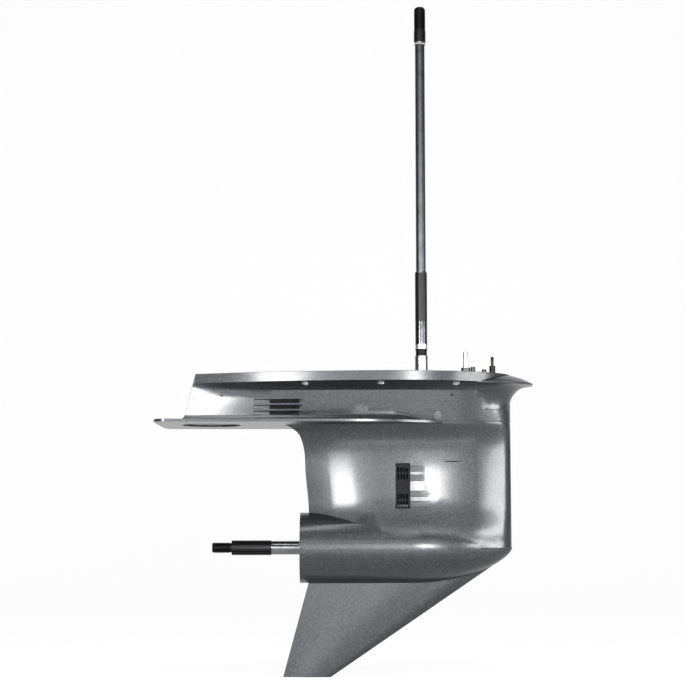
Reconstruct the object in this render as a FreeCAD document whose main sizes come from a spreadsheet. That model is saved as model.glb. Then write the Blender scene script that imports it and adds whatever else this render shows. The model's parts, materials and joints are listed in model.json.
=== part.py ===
"""Outboard lower unit: gearcase, bevel drive, dog clutch, water pump and shafts, in millimetres.

+X points to the bow, +Y to port and +Z up. The origin is on the drive shaft's axis, in the plane
of the face that bolts to the casing above. The propeller shaft runs along X, shaft_drop below it.
"""
import FreeCAD, Part
import os
import Sketcher
from math import acos, atan, atan2, cos, pi, radians, sin, sqrt, tan
from types import SimpleNamespace

from FreeCAD import Placement, Rotation, Vector

DIMENSIONS = {
    # Gearcase, seen from the side
    "shaft_drop": 291.0, "bullet_radius": 59.0, "bullet_rear": 206.0, "bullet_nose": 151.5,
    "bullet_shoulder": 20.0, "nose_front": 150.6, "rim_rear": 383.0, "rim_depth": 16.0,
    "wall_rake": 19.5, "plate_top": 80.0, "plate_thickness": 4.5, "lip_reach": 39.0, "lip_droop": 16.2,
    "lip_width": 152.0, "lip_centre": 62.0, "lip_hollow": 44.0, "strut_tail": 199.0, "skeg_bottom": 505.6, "skeg_tail": 234.0,
    "skeg_toe": 154.0, "skeg_front": 118.0, "skeg_root": 30.0, "skeg_thickness": 19.0,
    "skeg_tip_thickness": 9.0,
    # Gearcase, seen from above
    "widest_station": 40.0, "rim_width": 216.0, "rim_tail_width": 72.0, "wall_top_width": 168.0,
    "wall_base_width": 124.0, "wall_tail_width": 68.0, "strut_width": 84.0,
    "strut_tail_width": 13.0, "plate_width": 224.0, "plate_rear": 447.0, "plate_corner": 22.0,
    "plate_front": 31.0, "tab_seat_station": 357.5, "tab_seat_radius": 50.0, "tab_seat_depth": 3.0,
    "tab_bolt_radius": 5.2,
    # Inside the gearcase
    "wall": 7.0, "well_depth": 72.0, "well_front": 82.0, "pump_well_radius": 54.0,
    "exhaust_front": 92.0, "exhaust_rear": 182.0, "exhaust_inset": 6.5, "main_bore_radius": 50.0,
    "main_bore_front": 30.0, "neck_radius": 46.0, "neck_front": 40.0, "cup_radius": 39.0,
    "cup_front": 62.0, "nose_chamber_radius": 20.0, "nose_chamber_front": 92.0,
    "pinion_chamber_radius": 30.0, "pinion_chamber_height": 61.0, "seat_clearance": 0.05,
    "running_clearance": 0.1,
    # Openings and bolt holes in the gearcase
    "casing_bolt_radius": 5.25, "casing_bolt_relief": 9.5, "casing_bolt_relief_depth": 46.0,
    "front_bolt_station": 55.0, "middle_bolt_station": 70.4, "rear_bolt_station": 196.0,
    "casing_bolt_spread": 168.0, "middle_bolt_spread": 192.0, "dowel_radius": 4.0,
    "dowel_seat_radius": 4.6,
    "dowel_length": 26.0, "dowel_height": 11.0, "front_dowel_station": 107.0,
    "slot_front": 203.4, "slot_rear": 282.6, "slot_height": 6.4,
    "slot_top": 47.2, "slot_pitch": 9.75, "slot_count": 3.0,
    "intake_front": 22.0, "intake_rear": 46.5, "intake_top": 150.3, "intake_bottom": 225.8,
    "intake_depth": 4.0, "intake_reach": 12.4, "duct_width": 20.0, "groove_depth": 5.0,
    "groove_height": 9.6, "first_groove": 159.3, "second_groove": 174.5, "third_groove": 201.2,
    "fourth_groove": 218.0,
    # Drive shaft, going down
    "drive_top": 646.0, "crank_spline_radius": 9.65, "crank_spline_length": 39.4,
    "crank_collar_radius": 10.3, "crank_collar_length": 25.8, "slender_radius": 8.4,
    "slender_end": 177.5, "drive_radius": 10.3, "groove_top": 44.0, "groove_bottom": 34.0,
    "groove_radius": 9.5, "pump_journal_radius": 10.9, "bearing_journal_radius": 13.0,
    "journal_top": 89.0, "journal_bottom": 108.0, "lower_drive_radius": 12.0,
    "pinion_seat_radius": 11.0, "pinion_thread_radius": 8.5, "spline_tooth": 1.3,
    "spline_count": 14.0,
    # Propeller shaft, going forward
    "thread_radius": 9.0, "thread_start": 354.3, "thread_end": 323.5, "thread_neck_radius": 8.2,
    "prop_spline_radius": 12.3, "prop_spline_start": 321.4, "prop_spline_end": 254.7,
    "prop_plain_radius": 11.5, "prop_step": 179.0, "prop_journal_radius": 14.6,
    "front_journal_radius": 13.0, "front_journal_start": 17.5, "prop_front": 59.0,
    "collar_radius": 20.0, "collar_front": 60.5, "collar_width": 4.0,
    # Bevel gears
    "gear_module": 3.4, "pinion_teeth": 14.0, "gear_teeth": 28.0, "gear_face": 16.0,
    "pressure_angle": 22.0, "backlash": 0.45, "hub_radius": 25.0, "gear_bore": 16.0,
    "reverse_hub_radius": 22.5, "reverse_hub_rear": 57.0, "pinion_nut_height": 8.0,
    "pinion_nut_radius": 13.5, "pinion_hub_radius": 18.0, "pinion_hub_height": 11.0,
    # Dog clutch and shift
    "dog_half_length": 8.0, "dog_radius": 23.5, "lug_height": 4.2, "lug_count": 8.0,
    "lug_inner_radius": 17.0, "lug_angle": 19.0, "dog_gap": 1.0, "dog_spline_width": 4.0,
    "dog_spline_depth": 1.6, "dog_spline_count": 8.0, "cross_pin_radius": 3.0,
    "slider_radius": 6.0, "slider_tail": 5.0, "shift_travel": 4.7, "shift_station": 75.5, "shift_radius": 4.6,
    "shift_rod_radius": 4.25, "shift_neck": 16.0, "shift_top": 41.0, "crank_offset": 10.0, "crank_pin_radius": 3.0, "crank_disc_radius": 13.2,
    "crank_disc_height": 6.0, "spool_core_radius": 5.0, "spool_flange_radius": 13.0,
    "spool_flange_width": 3.0, "crank_side_clearance": 0.3, "shift_bore_radius": 6.0,
    "shift_recess_station": 82.0, "shift_recess_radius": 20.0, "shift_recess_depth": 10.0,
    "shift_collar_radius": 8.0, "shift_collar_top": 13.5, "shift_flange_radius": 18.5,
    "shift_flange_height": 5.0, "shift_screw_offset": 12.5,
    # Bearings, seals and the bearing carrier
    "forward_race_radius": 29.0,
    "upper_bearing_radius": 24.0, "upper_bearing_top": 88.0, "upper_bearing_bottom": 106.0,
    "shaft_bore_radius": 16.0, "needle_outer_radius": 17.5, "needle_rise": 67.0,
    "needle_height": 24.0, "carrier_rear": 196.0, "carrier_front": 40.0, "carrier_web": 58.0,
    "carrier_web_width": 12.0, "carrier_tube_radius": 24.0, "carrier_tube_bore": 18.5,
    "ball_race_radius": 44.0, "ball_race_inner": 27.0, "ball_race_outer": 39.0,
    "ball_radius": 5.0, "ball_count": 11.0, "ball_bearing_width": 15.0, "rib_width": 6.0,
    "rear_ring_bore": 42.5, "rear_ring_width": 8.0, "lock_washer": 0.8, "ring_nut_width": 7.0,
    "o_ring_radius": 1.6, "needle_length": 26.0, "needle_gap": 3.0, "seal_width": 6.0,
    # Water pump
    "pump_base_radius": 44.0, "pump_base_height": 8.0, "pump_body_radius": 34.0,
    "pump_body_height": 36.0, "pump_top_radius": 19.0, "pump_height": 46.0, "cup_bore": 27.0,
    "cup_wall": 2.0, "cup_offset": 2.0, "impeller_height": 19.0, "impeller_hub_radius": 15.5,
    "vane_thickness": 4.0, "vane_count": 6.0, "vane_gap": 0.3, "gasket": 0.6, "wear_plate": 1.6,
    "pump_bolt_circle": 39.5, "pump_bolt_radius": 3.0, "pump_bolt_head": 5.0,
    "tube_boss_radius": 12.5, "tube_radius": 8.0, "tube_station": 25.0, "tube_boss_top": 8.0,
    "tube_depth": 14.0, "pump_key_width": 4.0,
    # Plugs and the speedometer nipple
    "plug_station": 23.2, "plug_height": 71.2, "plug_head_radius": 6.5, "plug_head": 3.0,
    "plug_shank_radius": 4.0, "plug_shank": 8.0, "plug_washer": 1.0, "plug_seat_depth": 1.2, "drain_station": 60.0,
    "drain_drop": 22.0, "nipple_station": 121.0, "nipple_top": 32.4, "nipple_radius": 2.5,
    "nipple_hex": 5.2, "nipple_hex_top": 17.0, "nipple_recess": 7.0, "nipple_bore": 1.2,
}

doc = FreeCAD.newDocument("outboard_lower_unit")
sheet = doc.addObject("Spreadsheet::Sheet", "Dimensions")
for row, (alias, number) in enumerate(DIMENSIONS.items(), start=1):
    sheet.set("A%d" % row, alias)
    sheet.set("B%d" % row, str(number))
    sheet.setAlias("B%d" % row, alias)
doc.recompute()


class Size:
    """A length together with the sheet expression that it follows."""

    def __init__(self, value, text):
        self.value = value
        self.text = text

    def __float__(self):
        return self.value

    def __add__(self, other):
        other = as_size(other)
        return Size(self.value + other.value, "(%s + %s)" % (self.text, other.text))

    def __sub__(self, other):
        other = as_size(other)
        return Size(self.value - other.value, "(%s - %s)" % (self.text, other.text))

    def __mul__(self, factor):
        factor = as_size(factor)
        return Size(self.value * factor.value, "(%s * %s)" % (self.text, factor.text))

    def __truediv__(self, divisor):
        divisor = as_size(divisor)
        return Size(self.value / divisor.value, "(%s / %s)" % (self.text, divisor.text))

    def __neg__(self):
        return Size(-self.value, "(0 - %s)" % self.text)

    def __radd__(self, other):
        return as_size(other) + self

    def __rsub__(self, other):
        return as_size(other) - self

    def __rmul__(self, other):
        return as_size(other) * self


def as_size(number):
    """Turn a plain number into a Size, and leave a Size as it is."""
    return number if isinstance(number, Size) else Size(float(number), repr(float(number)))


D = SimpleNamespace(**{alias: Size(float(sheet.get(alias)), "Dimensions." + alias)
                       for alias in DIMENSIONS})
V = SimpleNamespace(**{alias: float(sheet.get(alias)) for alias in DIMENSIONS})
parts = {}

TURN = {"Z": Rotation(), "X": Rotation(Vector(0, 1, 0), 90), "Y": Rotation(Vector(1, 0, 0), -90)}
PROP_AXIS = (0, 0, -D.shaft_drop)


def place(obj, base, rotation=None):
    """Give an object its place, bound to the sheet."""
    obj.Placement = Placement(Vector(*[float(value) for value in base]), rotation or Rotation())
    for name, value in zip("xyz", base):
        obj.setExpression("Placement.Base." + name, as_size(value).text)
    return obj


def keep(label, obj):
    """Keep an object as the sub-part of that name."""
    obj.Label = label
    parts[label] = obj
    return obj


def cylinder(name, radius, length, base, axis="Z"):
    obj = doc.addObject("Part::Cylinder", name)
    obj.setExpression("Radius", as_size(radius).text)
    obj.setExpression("Height", as_size(length).text)
    return place(obj, base, TURN[axis])


def box(name, lengths, corner):
    obj = doc.addObject("Part::Box", name)
    for prop, value in zip(("Length", "Width", "Height"), lengths):
        obj.setExpression(prop, as_size(value).text)
    return place(obj, corner)


def centred_box(name, lengths, centre):
    corner = [as_size(middle) - as_size(length) / 2 for middle, length in zip(centre, lengths)]
    return box(name, lengths, corner)


def fuse(name, members):
    obj = doc.addObject("Part::MultiFuse", name)
    obj.Shapes = members
    return obj


def cut(name, base, tools):
    obj = doc.addObject("Part::Cut", name)
    obj.Base = base
    obj.Tool = tools[0] if len(tools) == 1 else fuse(name + "_tools", tools)
    return obj


def shaped(name, shape):
    """A free form, made from the sheet's values with the shape functions."""
    obj = doc.addObject("Part::Feature", name)
    obj.Shape = shape
    return obj


def origin_plane(body, role):
    return [feature for feature in body.Origin.OriginFeatures if feature.Role == role][0]


def coincident(first, second):
    return Sketcher.Constraint("Coincident", first, 2, second, 1)


def outline_sketch(body, role, points):
    """A closed outline of straight lines whose corners are bound to the sheet."""
    sketch = body.newObject("Sketcher::SketchObject", body.Name + "_outline")
    sketch.AttachmentSupport = [(origin_plane(body, role), "")]
    sketch.MapMode = "FlatFace"
    corners = [Vector(float(across), float(up), 0) for across, up in points]
    count = len(corners)
    for index, corner in enumerate(corners):
        sketch.addGeometry(Part.LineSegment(corner, corners[(index + 1) % count]))
    for index in range(count):
        sketch.addConstraint(coincident(index, (index + 1) % count))
    for index, (across, up) in enumerate(points):
        for kind, size in (("DistanceX", across), ("DistanceY", up)):
            number = sketch.addConstraint(
                Sketcher.Constraint(kind, -1, 1, index, 1, float(size)))
            sketch.setExpression("Constraints[%d]" % number, as_size(size).text)
    return sketch


def turned(name, axis, outer, inner=None, base=(0, 0, 0)):
    """A turned piece: outer and inner are (distance along the axis, radius) pairs."""
    body = doc.addObject("PartDesign::Body", name)
    if inner is None:
        inner = [(outer[0][0], 0), (outer[-1][0], 0)]
    profile = list(outer) + list(reversed(inner))
    if axis == "Z":
        profile = [(radius, along) for along, radius in profile]
    sketch = outline_sketch(body, "XZ_Plane", profile)
    revolution = body.newObject("PartDesign::Revolution", name + "_turned")
    revolution.Profile = sketch
    revolution.ReferenceAxis = (sketch, ["H_Axis" if axis == "X" else "V_Axis"])
    revolution.Angle = 360
    return place(body, base)


def ring(name, axis, start, stop, inner, outer, base=(0, 0, 0)):
    """A plain ring or sleeve between two places along an axis."""
    return turned(name, axis, [(start, outer), (stop, outer)], [(start, inner), (stop, inner)],
                  base)


def rotated_copies(shape, count, axis, centre=Vector(0, 0, 0), first=0.0):
    """The shape repeated evenly about an axis."""
    copies = []
    for index in range(int(count)):
        copy = shape.copy()
        copy.rotate(centre, axis, first + 360.0 * index / int(count))
        copies.append(copy)
    return copies


X_AXIS, Y_AXIS, Z_AXIS = Vector(1, 0, 0), Vector(0, 1, 0), Vector(0, 0, 1)
APEX = Vector(0, 0, -V.shaft_drop)


# Gearcase: the outer form
class Section:
    """A level slice of the casing: a rounded nose, a widest station and a tapering tail."""

    nose_power = 2.0
    tail_power = 1.85

    def __init__(self, height, rear, half_width, tail_half_width, front=V.nose_front):
        self.height = height
        self.rear = rear
        self.half_width = half_width
        self.tail_half_width = tail_half_width
        self.front = front

    def width_at(self, station):
        """The half width at a place along X."""
        widest = -V.widest_station
        if station > widest:
            share = (station - widest) / (self.front - widest)
            return self.half_width * sqrt(max(0.0, 1 - share ** self.nose_power))
        share = (widest - station) / (widest - self.rear)
        spread = self.half_width - self.tail_half_width
        return self.tail_half_width + spread * (1 - share ** self.tail_power)

    def wire(self):
        """A smooth curve along each side, meeting at the nose, and a straight line across the tail."""
        widest = -V.widest_station
        tail = [self.rear + (widest - self.rear) * step / 4.0 for step in range(4)]
        side = [Vector(x, self.width_at(x), self.height) for x in tail]
        for angle in (0, 24, 45, 62, 75, 84):
            x = widest + (self.front - widest) * sin(radians(angle))
            side.append(Vector(x, self.width_at(x), self.height))
        side.append(Vector(self.front, 0, self.height))
        edges = []
        for sign in (1, -1):
            points = [Vector(point.x, sign * point.y, point.z) for point in side]
            curve = Part.BSplineCurve()
            curve.interpolate(Points=points, InitialTangent=points[1] - points[0],
                              FinalTangent=Vector(0, -sign * self.half_width, 0))
            edges.append(curve)
        edges[1].reverse()
        across = Part.makeLine(Vector(self.rear, -side[0].y, self.height), side[0])
        return Part.Wire([edges[0].toShape(), edges[1].toShape(), across])


def lofted(sections):
    return Part.makeLoft([section.wire() for section in sections], True, False)


def wall_rear(height):
    """The raked rear of the upper wall at a height below the rim."""
    return -V.rim_rear + V.wall_rake * height / V.plate_top


def wall_half_width(height):
    share = -height / V.plate_top
    return (V.wall_top_width + (V.wall_base_width - V.wall_top_width) * share ** 0.8) / 2


def rim_form():
    """The thick rim round the top, and the hollow slope beneath its overhang."""
    tail = V.rim_tail_width / 2
    outline = Section(0, -V.rim_rear, V.rim_width / 2, tail)
    band = Part.Face(outline.wire()).extrude(Vector(0, 0, -V.rim_depth))
    slope = []
    for drop, share in ((0.0, 0.86), (4.0, 0.46), (9.0, 0.16), (17.0, -0.05)):
        height = -V.rim_depth - drop
        base = wall_half_width(height) - 0.4
        width = base + (V.rim_width / 2 - base) * share
        tail_width = V.wall_tail_width / 2 + (tail - V.wall_tail_width / 2) * share
        slope.append(Section(height, wall_rear(height) + 0.6, width, tail_width - 0.4,
                             V.nose_front - 2 + share))
    return band.fuse(lofted(slope))


def wall_form():
    sections = []
    for height in (-4.0, -28.0, -52.0, -74.0, -V.plate_top):
        sections.append(Section(height, wall_rear(height), wall_half_width(height),
                                V.wall_tail_width / 2))
    return lofted(sections)


def strut_form():
    """The streamlined leg from the plate down into the torpedo."""
    low = V.shaft_drop
    slim = V.strut_width / 2
    base = V.wall_base_width / 2
    tail = V.strut_tail_width / 2
    levels = (
        (V.plate_top - 3, base - 1.4, -V.strut_tail - 41, tail + 13),
        (V.plate_top + 8, base - 4.5, -V.strut_tail - 25, tail + 7),
        (V.plate_top + 17, base - 9.5, -V.strut_tail - 12, tail + 3),
        (V.plate_top + 30, base - 15, -V.strut_tail - 5, tail + 1),
        (V.plate_top + 52, slim + 1.5, -V.strut_tail, tail),
        (V.plate_top + 80, slim, -V.strut_tail + 1.5, tail),
        (V.plate_top + 112, slim + 0.6, -V.strut_tail + 4.5, tail),
        (low - V.bullet_radius - 12, slim + 2.5, -V.strut_tail + 7, tail + 1),
        (low - 46, slim + 8, -V.strut_tail + 8, tail + 6),
        (low - 22, slim + 13, -V.strut_tail + 8, tail + 14),
        (low, slim + 15, -V.strut_tail + 8, tail + 20),
    )
    sections = [Section(-drop, rear, width, tail_width) for drop, width, rear, tail_width in levels]
    sections[0].front -= 1.2
    return lofted(sections)


def bullet_radius_at(station):
    """The torpedo's radius: parallel aft, then a full round nose."""
    start = -V.bullet_shoulder
    if station <= start:
        return V.bullet_radius
    share = (station - start) / (V.bullet_nose - start)
    return V.bullet_radius * max(0.0, 1 - share ** 2) ** 0.66


def bullet_form():
    start, tip = -V.bullet_shoulder, V.bullet_nose
    curve = Part.BSplineCurve()
    shares = (0.0, 0.2, 0.4, 0.58, 0.74, 0.86, 0.94, 0.985)
    points = [Vector(start + (tip - start) * share, 0,
                     bullet_radius_at(start + (tip - start) * share)) for share in shares]
    points.append(Vector(tip, 0, 0))
    curve.interpolate(points)
    rear = Vector(-V.bullet_rear, 0, 0)
    rear_rim = Vector(-V.bullet_rear, 0, V.bullet_radius)
    profile = Part.Wire([Part.makeLine(rear, rear_rim), Part.makeLine(rear_rim, points[0]),
                         curve.toShape(), Part.makeLine(points[-1], rear)])
    solid = Part.Face(profile).revolve(Vector(0, 0, 0), X_AXIS, 360)
    solid.translate(APEX)
    return solid


def skeg_section(height, front, rear, thickness):
    """A thin foil: blunt leading edge, slim square trailing edge."""
    chord = front - rear
    half = thickness / 2
    side = [(1.0, 0.26), (0.7, 0.62), (0.4, 1.0), (0.16, 0.84), (0.04, 0.46)]
    points = [Vector(front - chord * share, half * width, height) for share, width in side]
    nose = [Vector(front, 0, height)]
    other = [Vector(point.x, -point.y, point.z) for point in reversed(points)]
    curve = Part.BSplineCurve()
    curve.interpolate(points + nose + other)
    return Part.Wire([curve.toShape(), Part.makeLine(other[-1], points[0])])


def skeg_form():
    """The fin below the torpedo, swept aft, with its lower corners rounded."""
    root = -(V.shaft_drop + V.skeg_root)
    tip = -V.skeg_bottom
    front_root = V.skeg_front
    rear_root = -V.skeg_tail + (root - tip) * 0.27
    fin = Part.makeLoft([skeg_section(root, front_root, rear_root, V.skeg_thickness),
                         skeg_section(tip, -V.skeg_toe, -V.skeg_tail, V.skeg_tip_thickness)], True, True)
    return fin


def plate_form():
    """The flat plate above the propeller, with its rounded rear corners."""
    half = V.plate_width / 2
    rear = -V.plate_rear
    corner = V.plate_corner
    low = -V.plate_top - V.plate_thickness
    inner = half - corner
    start = Vector(rear + corner, half, low)
    bend = Vector(rear + corner * 0.32, half - corner * 0.3, low)
    end = Vector(rear + 1.5, inner, low)
    back = Vector(rear, 0, low)
    side = [Vector(-150, half, low), Vector(-80, half * 0.96, low), Vector(-25, half * 0.83, low),
            Vector(V.plate_front, half * 0.5, low)]
    flank = Part.BSplineCurve()
    flank.interpolate(side)

    def mirrored(point):
        return Vector(point.x, -point.y, point.z)

    other_flank = Part.BSplineCurve()
    other_flank.interpolate([mirrored(point) for point in side])
    edges = [Part.Arc(end, bend, start).toShape(), Part.makeLine(start, side[0]), flank.toShape(),
             Part.makeLine(side[-1], mirrored(side[-1])), other_flank.toShape(),
             Part.makeLine(mirrored(side[0]), mirrored(start)),
             Part.Arc(mirrored(start), mirrored(bend), mirrored(end)).toShape(),
             Part.Arc(mirrored(end), back, end).toShape()]
    outline = Part.Wire(Part.__sortEdges__(edges))
    return Part.Face(outline).extrude(Vector(0, 0, V.plate_thickness))


def plate_root_form():
    """The hollow slope where the upper wall runs out into the plate."""
    sections = []
    for rise, spread in ((0.0, 11.0), (3.5, 4.6), (8.0, 1.2), (14.0, -1.6)):
        height = -V.plate_top + rise
        sections.append(Section(height, wall_rear(height) - spread * 0.6,
                                wall_half_width(height) + spread,
                                V.wall_tail_width / 2 + spread, V.plate_front + 6 + spread))
    return lofted(sections)


def lip_form():
    """The spray lip: the bow's rim carried forward and hooked down, narrowing round the sides."""
    front = V.nose_front
    centre = front - V.lip_centre
    tip = front + V.lip_reach
    foot_depth = V.lip_droop + V.lip_hollow
    shoulder = Vector(front - 4, 0, 0)
    tip_top = Vector(tip, 0, -V.lip_droop + 1.5)
    tip_low = Vector(tip - 1, 0, -V.lip_droop - 1.5)
    foot = Vector(front - 1.2, 0, -foot_depth)
    droop = Part.Arc(shoulder, Vector(front + V.lip_reach * 0.55, 0, -V.lip_droop * 0.4),
                     tip_top).toShape()
    under = Part.Arc(tip_low, Vector(front + 10.5, 0, -V.lip_droop - 12), foot).toShape()
    back_low = Vector(centre, 0, -foot_depth)
    back_top = Vector(centre, 0, 0)
    profile = Part.Wire([Part.makeLine(back_top, shoulder), droop, Part.makeLine(tip_top, tip_low),
                         under, Part.makeLine(foot, back_low), Part.makeLine(back_low, back_top)])
    round_lip = Part.Face(profile).revolve(Vector(centre, 0, 0), Z_AXIS, 90)
    both = round_lip.fuse(round_lip.mirror(Vector(0, 0, 0), Y_AXIS))
    squeeze = FreeCAD.Matrix()
    squeeze.scale(1, V.lip_width / 2 / (V.lip_centre + V.lip_reach), 1)
    return both.removeSplitter().transformGeometry(squeeze)


def well_form():
    """The open well behind the pump, which carries the exhaust down."""
    rear = -V.rim_rear + V.wall
    front = -V.well_front
    top, base = 1.0, -V.well_depth
    sections = []
    for height in (top, base):
        outline = Section(height, -V.rim_rear, wall_half_width(min(-20.0, height)),
                          V.wall_tail_width / 2)
        shift = min(0.0, wall_rear(height) + V.rim_rear)
        points = []
        for step in range(6):
            x = rear + shift + (front - rear - shift) * step / 5.0
            points.append(Vector(x, outline.width_at(x) - V.wall, height))
        mirrored = [Vector(point.x, -point.y, point.z) for point in reversed(points)]
        side = Part.BSplineCurve()
        side.interpolate(points)
        other = Part.BSplineCurve()
        other.interpolate(mirrored)
        sections.append(Part.Wire([side.toShape(), Part.makeLine(points[-1], mirrored[0]),
                                   other.toShape(), Part.makeLine(mirrored[-1], points[0])]))
    return Part.makeLoft(sections, True, True)


def exhaust_form():
    """The passage from the well down the hollow tail of the leg."""
    leg = Section(0, -V.strut_tail, V.strut_width / 2, V.strut_tail_width / 2)
    front, rear = -V.exhaust_front, -V.exhaust_rear
    middle = (front + rear) / 2
    half_widths = [leg.width_at(x) - V.exhaust_inset for x in (front, middle, rear)]
    points = [Vector(x, half, 0) for x, half in zip((front, middle, rear), half_widths)]
    points += [Vector(x, -half, 0) for x, half in zip((rear, middle, front), reversed(half_widths))]
    outline = Part.makePolygon(points + points[:1])
    passage = Part.Face(outline).extrude(Vector(0, 0, V.shaft_drop - V.well_depth + 4))
    passage.translate(Vector(0, 0, -V.shaft_drop + V.bullet_radius * 0.2))
    return passage


def intake_ramp(height):
    """A ramped groove that leads water aft to the screen, on the starboard side."""
    front = V.intake_reach
    rear = -V.intake_rear + 2
    surface = V.strut_width / 2
    points = [Vector(front, -surface - 6, 0), Vector(front, -surface - 0.2, 0),
              Vector(rear, -surface + V.groove_depth, 0), Vector(rear, -surface - 6, 0)]
    wedge = Part.Face(Part.makePolygon(points + points[:1]))
    wedge = wedge.extrude(Vector(0, 0, V.groove_height))
    wedge.translate(Vector(0, 0, -height - V.groove_height / 2))
    return wedge


outer = rim_form()
for form in (wall_form(), strut_form(), bullet_form(), skeg_form(), plate_form(),
             plate_root_form(), lip_form()):
    outer = outer.fuse(form)
casing_form = shaped("casing_form", outer.removeSplitter())


# Gearcase: what is cut out of it
def casing_bolt_tools():
    """Through holes in the rim with a relief below each, in three pairs."""
    tools = []
    places = (("front", D.front_bolt_station, D.casing_bolt_spread),
              ("rear", -D.rear_bolt_station, D.casing_bolt_spread),
              ("middle", -D.middle_bolt_station, D.middle_bolt_spread))
    for name, station, spread in places:
        for side, sign in (("port", 1), ("starboard", -1)):
            across = spread / 2 * sign
            tools.append(cylinder("%s_%s_bolt_hole" % (name, side), D.casing_bolt_radius,
                                  D.casing_bolt_relief_depth, (station, across,
                                                               -D.casing_bolt_relief_depth + 1)))
            tools.append(cylinder("%s_%s_bolt_relief" % (name, side), D.casing_bolt_relief,
                                  D.casing_bolt_relief_depth - D.rim_depth,
                                  (station, across, -D.casing_bolt_relief_depth)))
    return tools


def slot_tools():
    """The rows of side slots that let the idle exhaust and cooling water out."""
    tools = []
    length = D.slot_rear - D.slot_front
    for index in range(int(V.slot_count)):
        height = -D.slot_top - D.slot_pitch * index
        tools.append(centred_box("side_slot_%d" % index,
                                 (length, D.rim_width, D.slot_height),
                                 (-(D.slot_front + D.slot_rear) / 2, 0, height)))
    return tools


def turned_tool(name, steps, axis="X", base=PROP_AXIS):
    """A stepped hole: steps are (start, stop, radius) in order along the axis."""
    profile = []
    for start, stop, radius in steps:
        profile += [(start, radius), (stop, radius)]
    return turned(name, axis, profile, base=base)


def main_bore_tool():
    """The stepped bore through the torpedo for gears, bearings and carrier."""
    clear = D.seat_clearance
    return turned_tool("main_bore", [
        (-D.bullet_rear - 2, D.main_bore_front, D.main_bore_radius),
        (D.main_bore_front + 4, D.neck_front, D.neck_radius),
        (D.neck_front + 0.5, D.cup_front + 0.5, D.cup_radius + clear),
        (D.cup_front + 1, D.nose_chamber_front, D.nose_chamber_radius)])


def drive_bore_tool():
    """The vertical bore for the drive shaft, from the pump's floor to the pinion."""
    clear = D.seat_clearance
    needle_top = -D.shaft_drop + D.needle_rise + D.needle_height
    return turned_tool("drive_bore", [
        (-D.shaft_drop, -D.shaft_drop + D.pinion_chamber_height, D.pinion_chamber_radius),
        (-D.shaft_drop + D.pinion_chamber_height + 0.5, needle_top, D.needle_outer_radius + clear),
        (needle_top + 0.5, -D.upper_bearing_bottom, D.shaft_bore_radius),
        (-D.upper_bearing_bottom, -D.well_depth + 2, D.upper_bearing_radius + clear)],
        axis="Z", base=(0, 0, 0))


def shift_bore_tool():
    return turned_tool("shift_bore", [
        (-D.shaft_drop, -D.shaft_drop + 26, D.crank_disc_radius + 2),
        (-D.shaft_drop + 27, -D.shift_recess_depth - 8, D.shift_bore_radius)],
        axis="Z", base=(D.shift_station, 0, 0))


def intake_tools():
    """The two screen seats, the duct up to the pump and the ramped grooves."""
    middle = -(D.intake_front + D.intake_rear) / 2
    length = D.intake_rear - D.intake_front
    height = D.intake_bottom - D.intake_top
    seat = centred_box("screen_seats", (length, D.strut_width + 30, height),
                       (middle, 0, -(D.intake_top + D.intake_bottom) / 2))
    core = centred_box("screen_core", (length + 2, D.strut_width - D.intake_depth * 2, height + 2),
                       (middle, 0, -(D.intake_top + D.intake_bottom) / 2))
    seats = cut("screen_seat_pair", seat, [core])
    window = centred_box("intake_window", (length - 6, D.strut_width, height - 14),
                         (middle, 0, -(D.intake_top + D.intake_bottom) / 2))
    duct = box("water_duct", (length - 8, D.duct_width, D.intake_top - D.well_depth + 20),
               (-D.intake_rear + 4, -D.duct_width / 2, -D.intake_top - 10))
    ramps = []
    for depth in (V.first_groove, V.second_groove, V.third_groove, V.fourth_groove):
        ramp = intake_ramp(depth)
        ramps += [ramp, ramp.mirror(Vector(0, 0, 0), Y_AXIS)]
    return [seats, window, duct, shaped("intake_ramps", Part.makeCompound(ramps))]


def seat_on_casing(station, height, sign):
    """Where a line square to the casing's side meets its wall, less the depth of the flat seat."""
    line = Part.makeLine(Vector(station, sign * 150, height), Vector(station, 0, height))
    met = casing_form.Shape.common(line)
    return (max(abs(vertex.Y) for vertex in met.Vertexes) - V.plug_seat_depth) * sign


def pump_bolt_places():
    reach = V.pump_bolt_circle
    return [Vector(reach * cos(radians(turn)), reach * sin(radians(turn)), 0)
            for turn in (45, 135, 225, 315)]


starboard = Rotation(X_AXIS, 90)
port = Rotation(X_AXIS, -90)
drain_height = -V.shaft_drop - V.drain_drop
level_seat = Vector(V.plug_station, seat_on_casing(V.plug_station, -V.plug_height, -1),
                    -V.plug_height)
drain_seat = Vector(V.drain_station, seat_on_casing(V.drain_station, drain_height, 1), drain_height)


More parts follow.
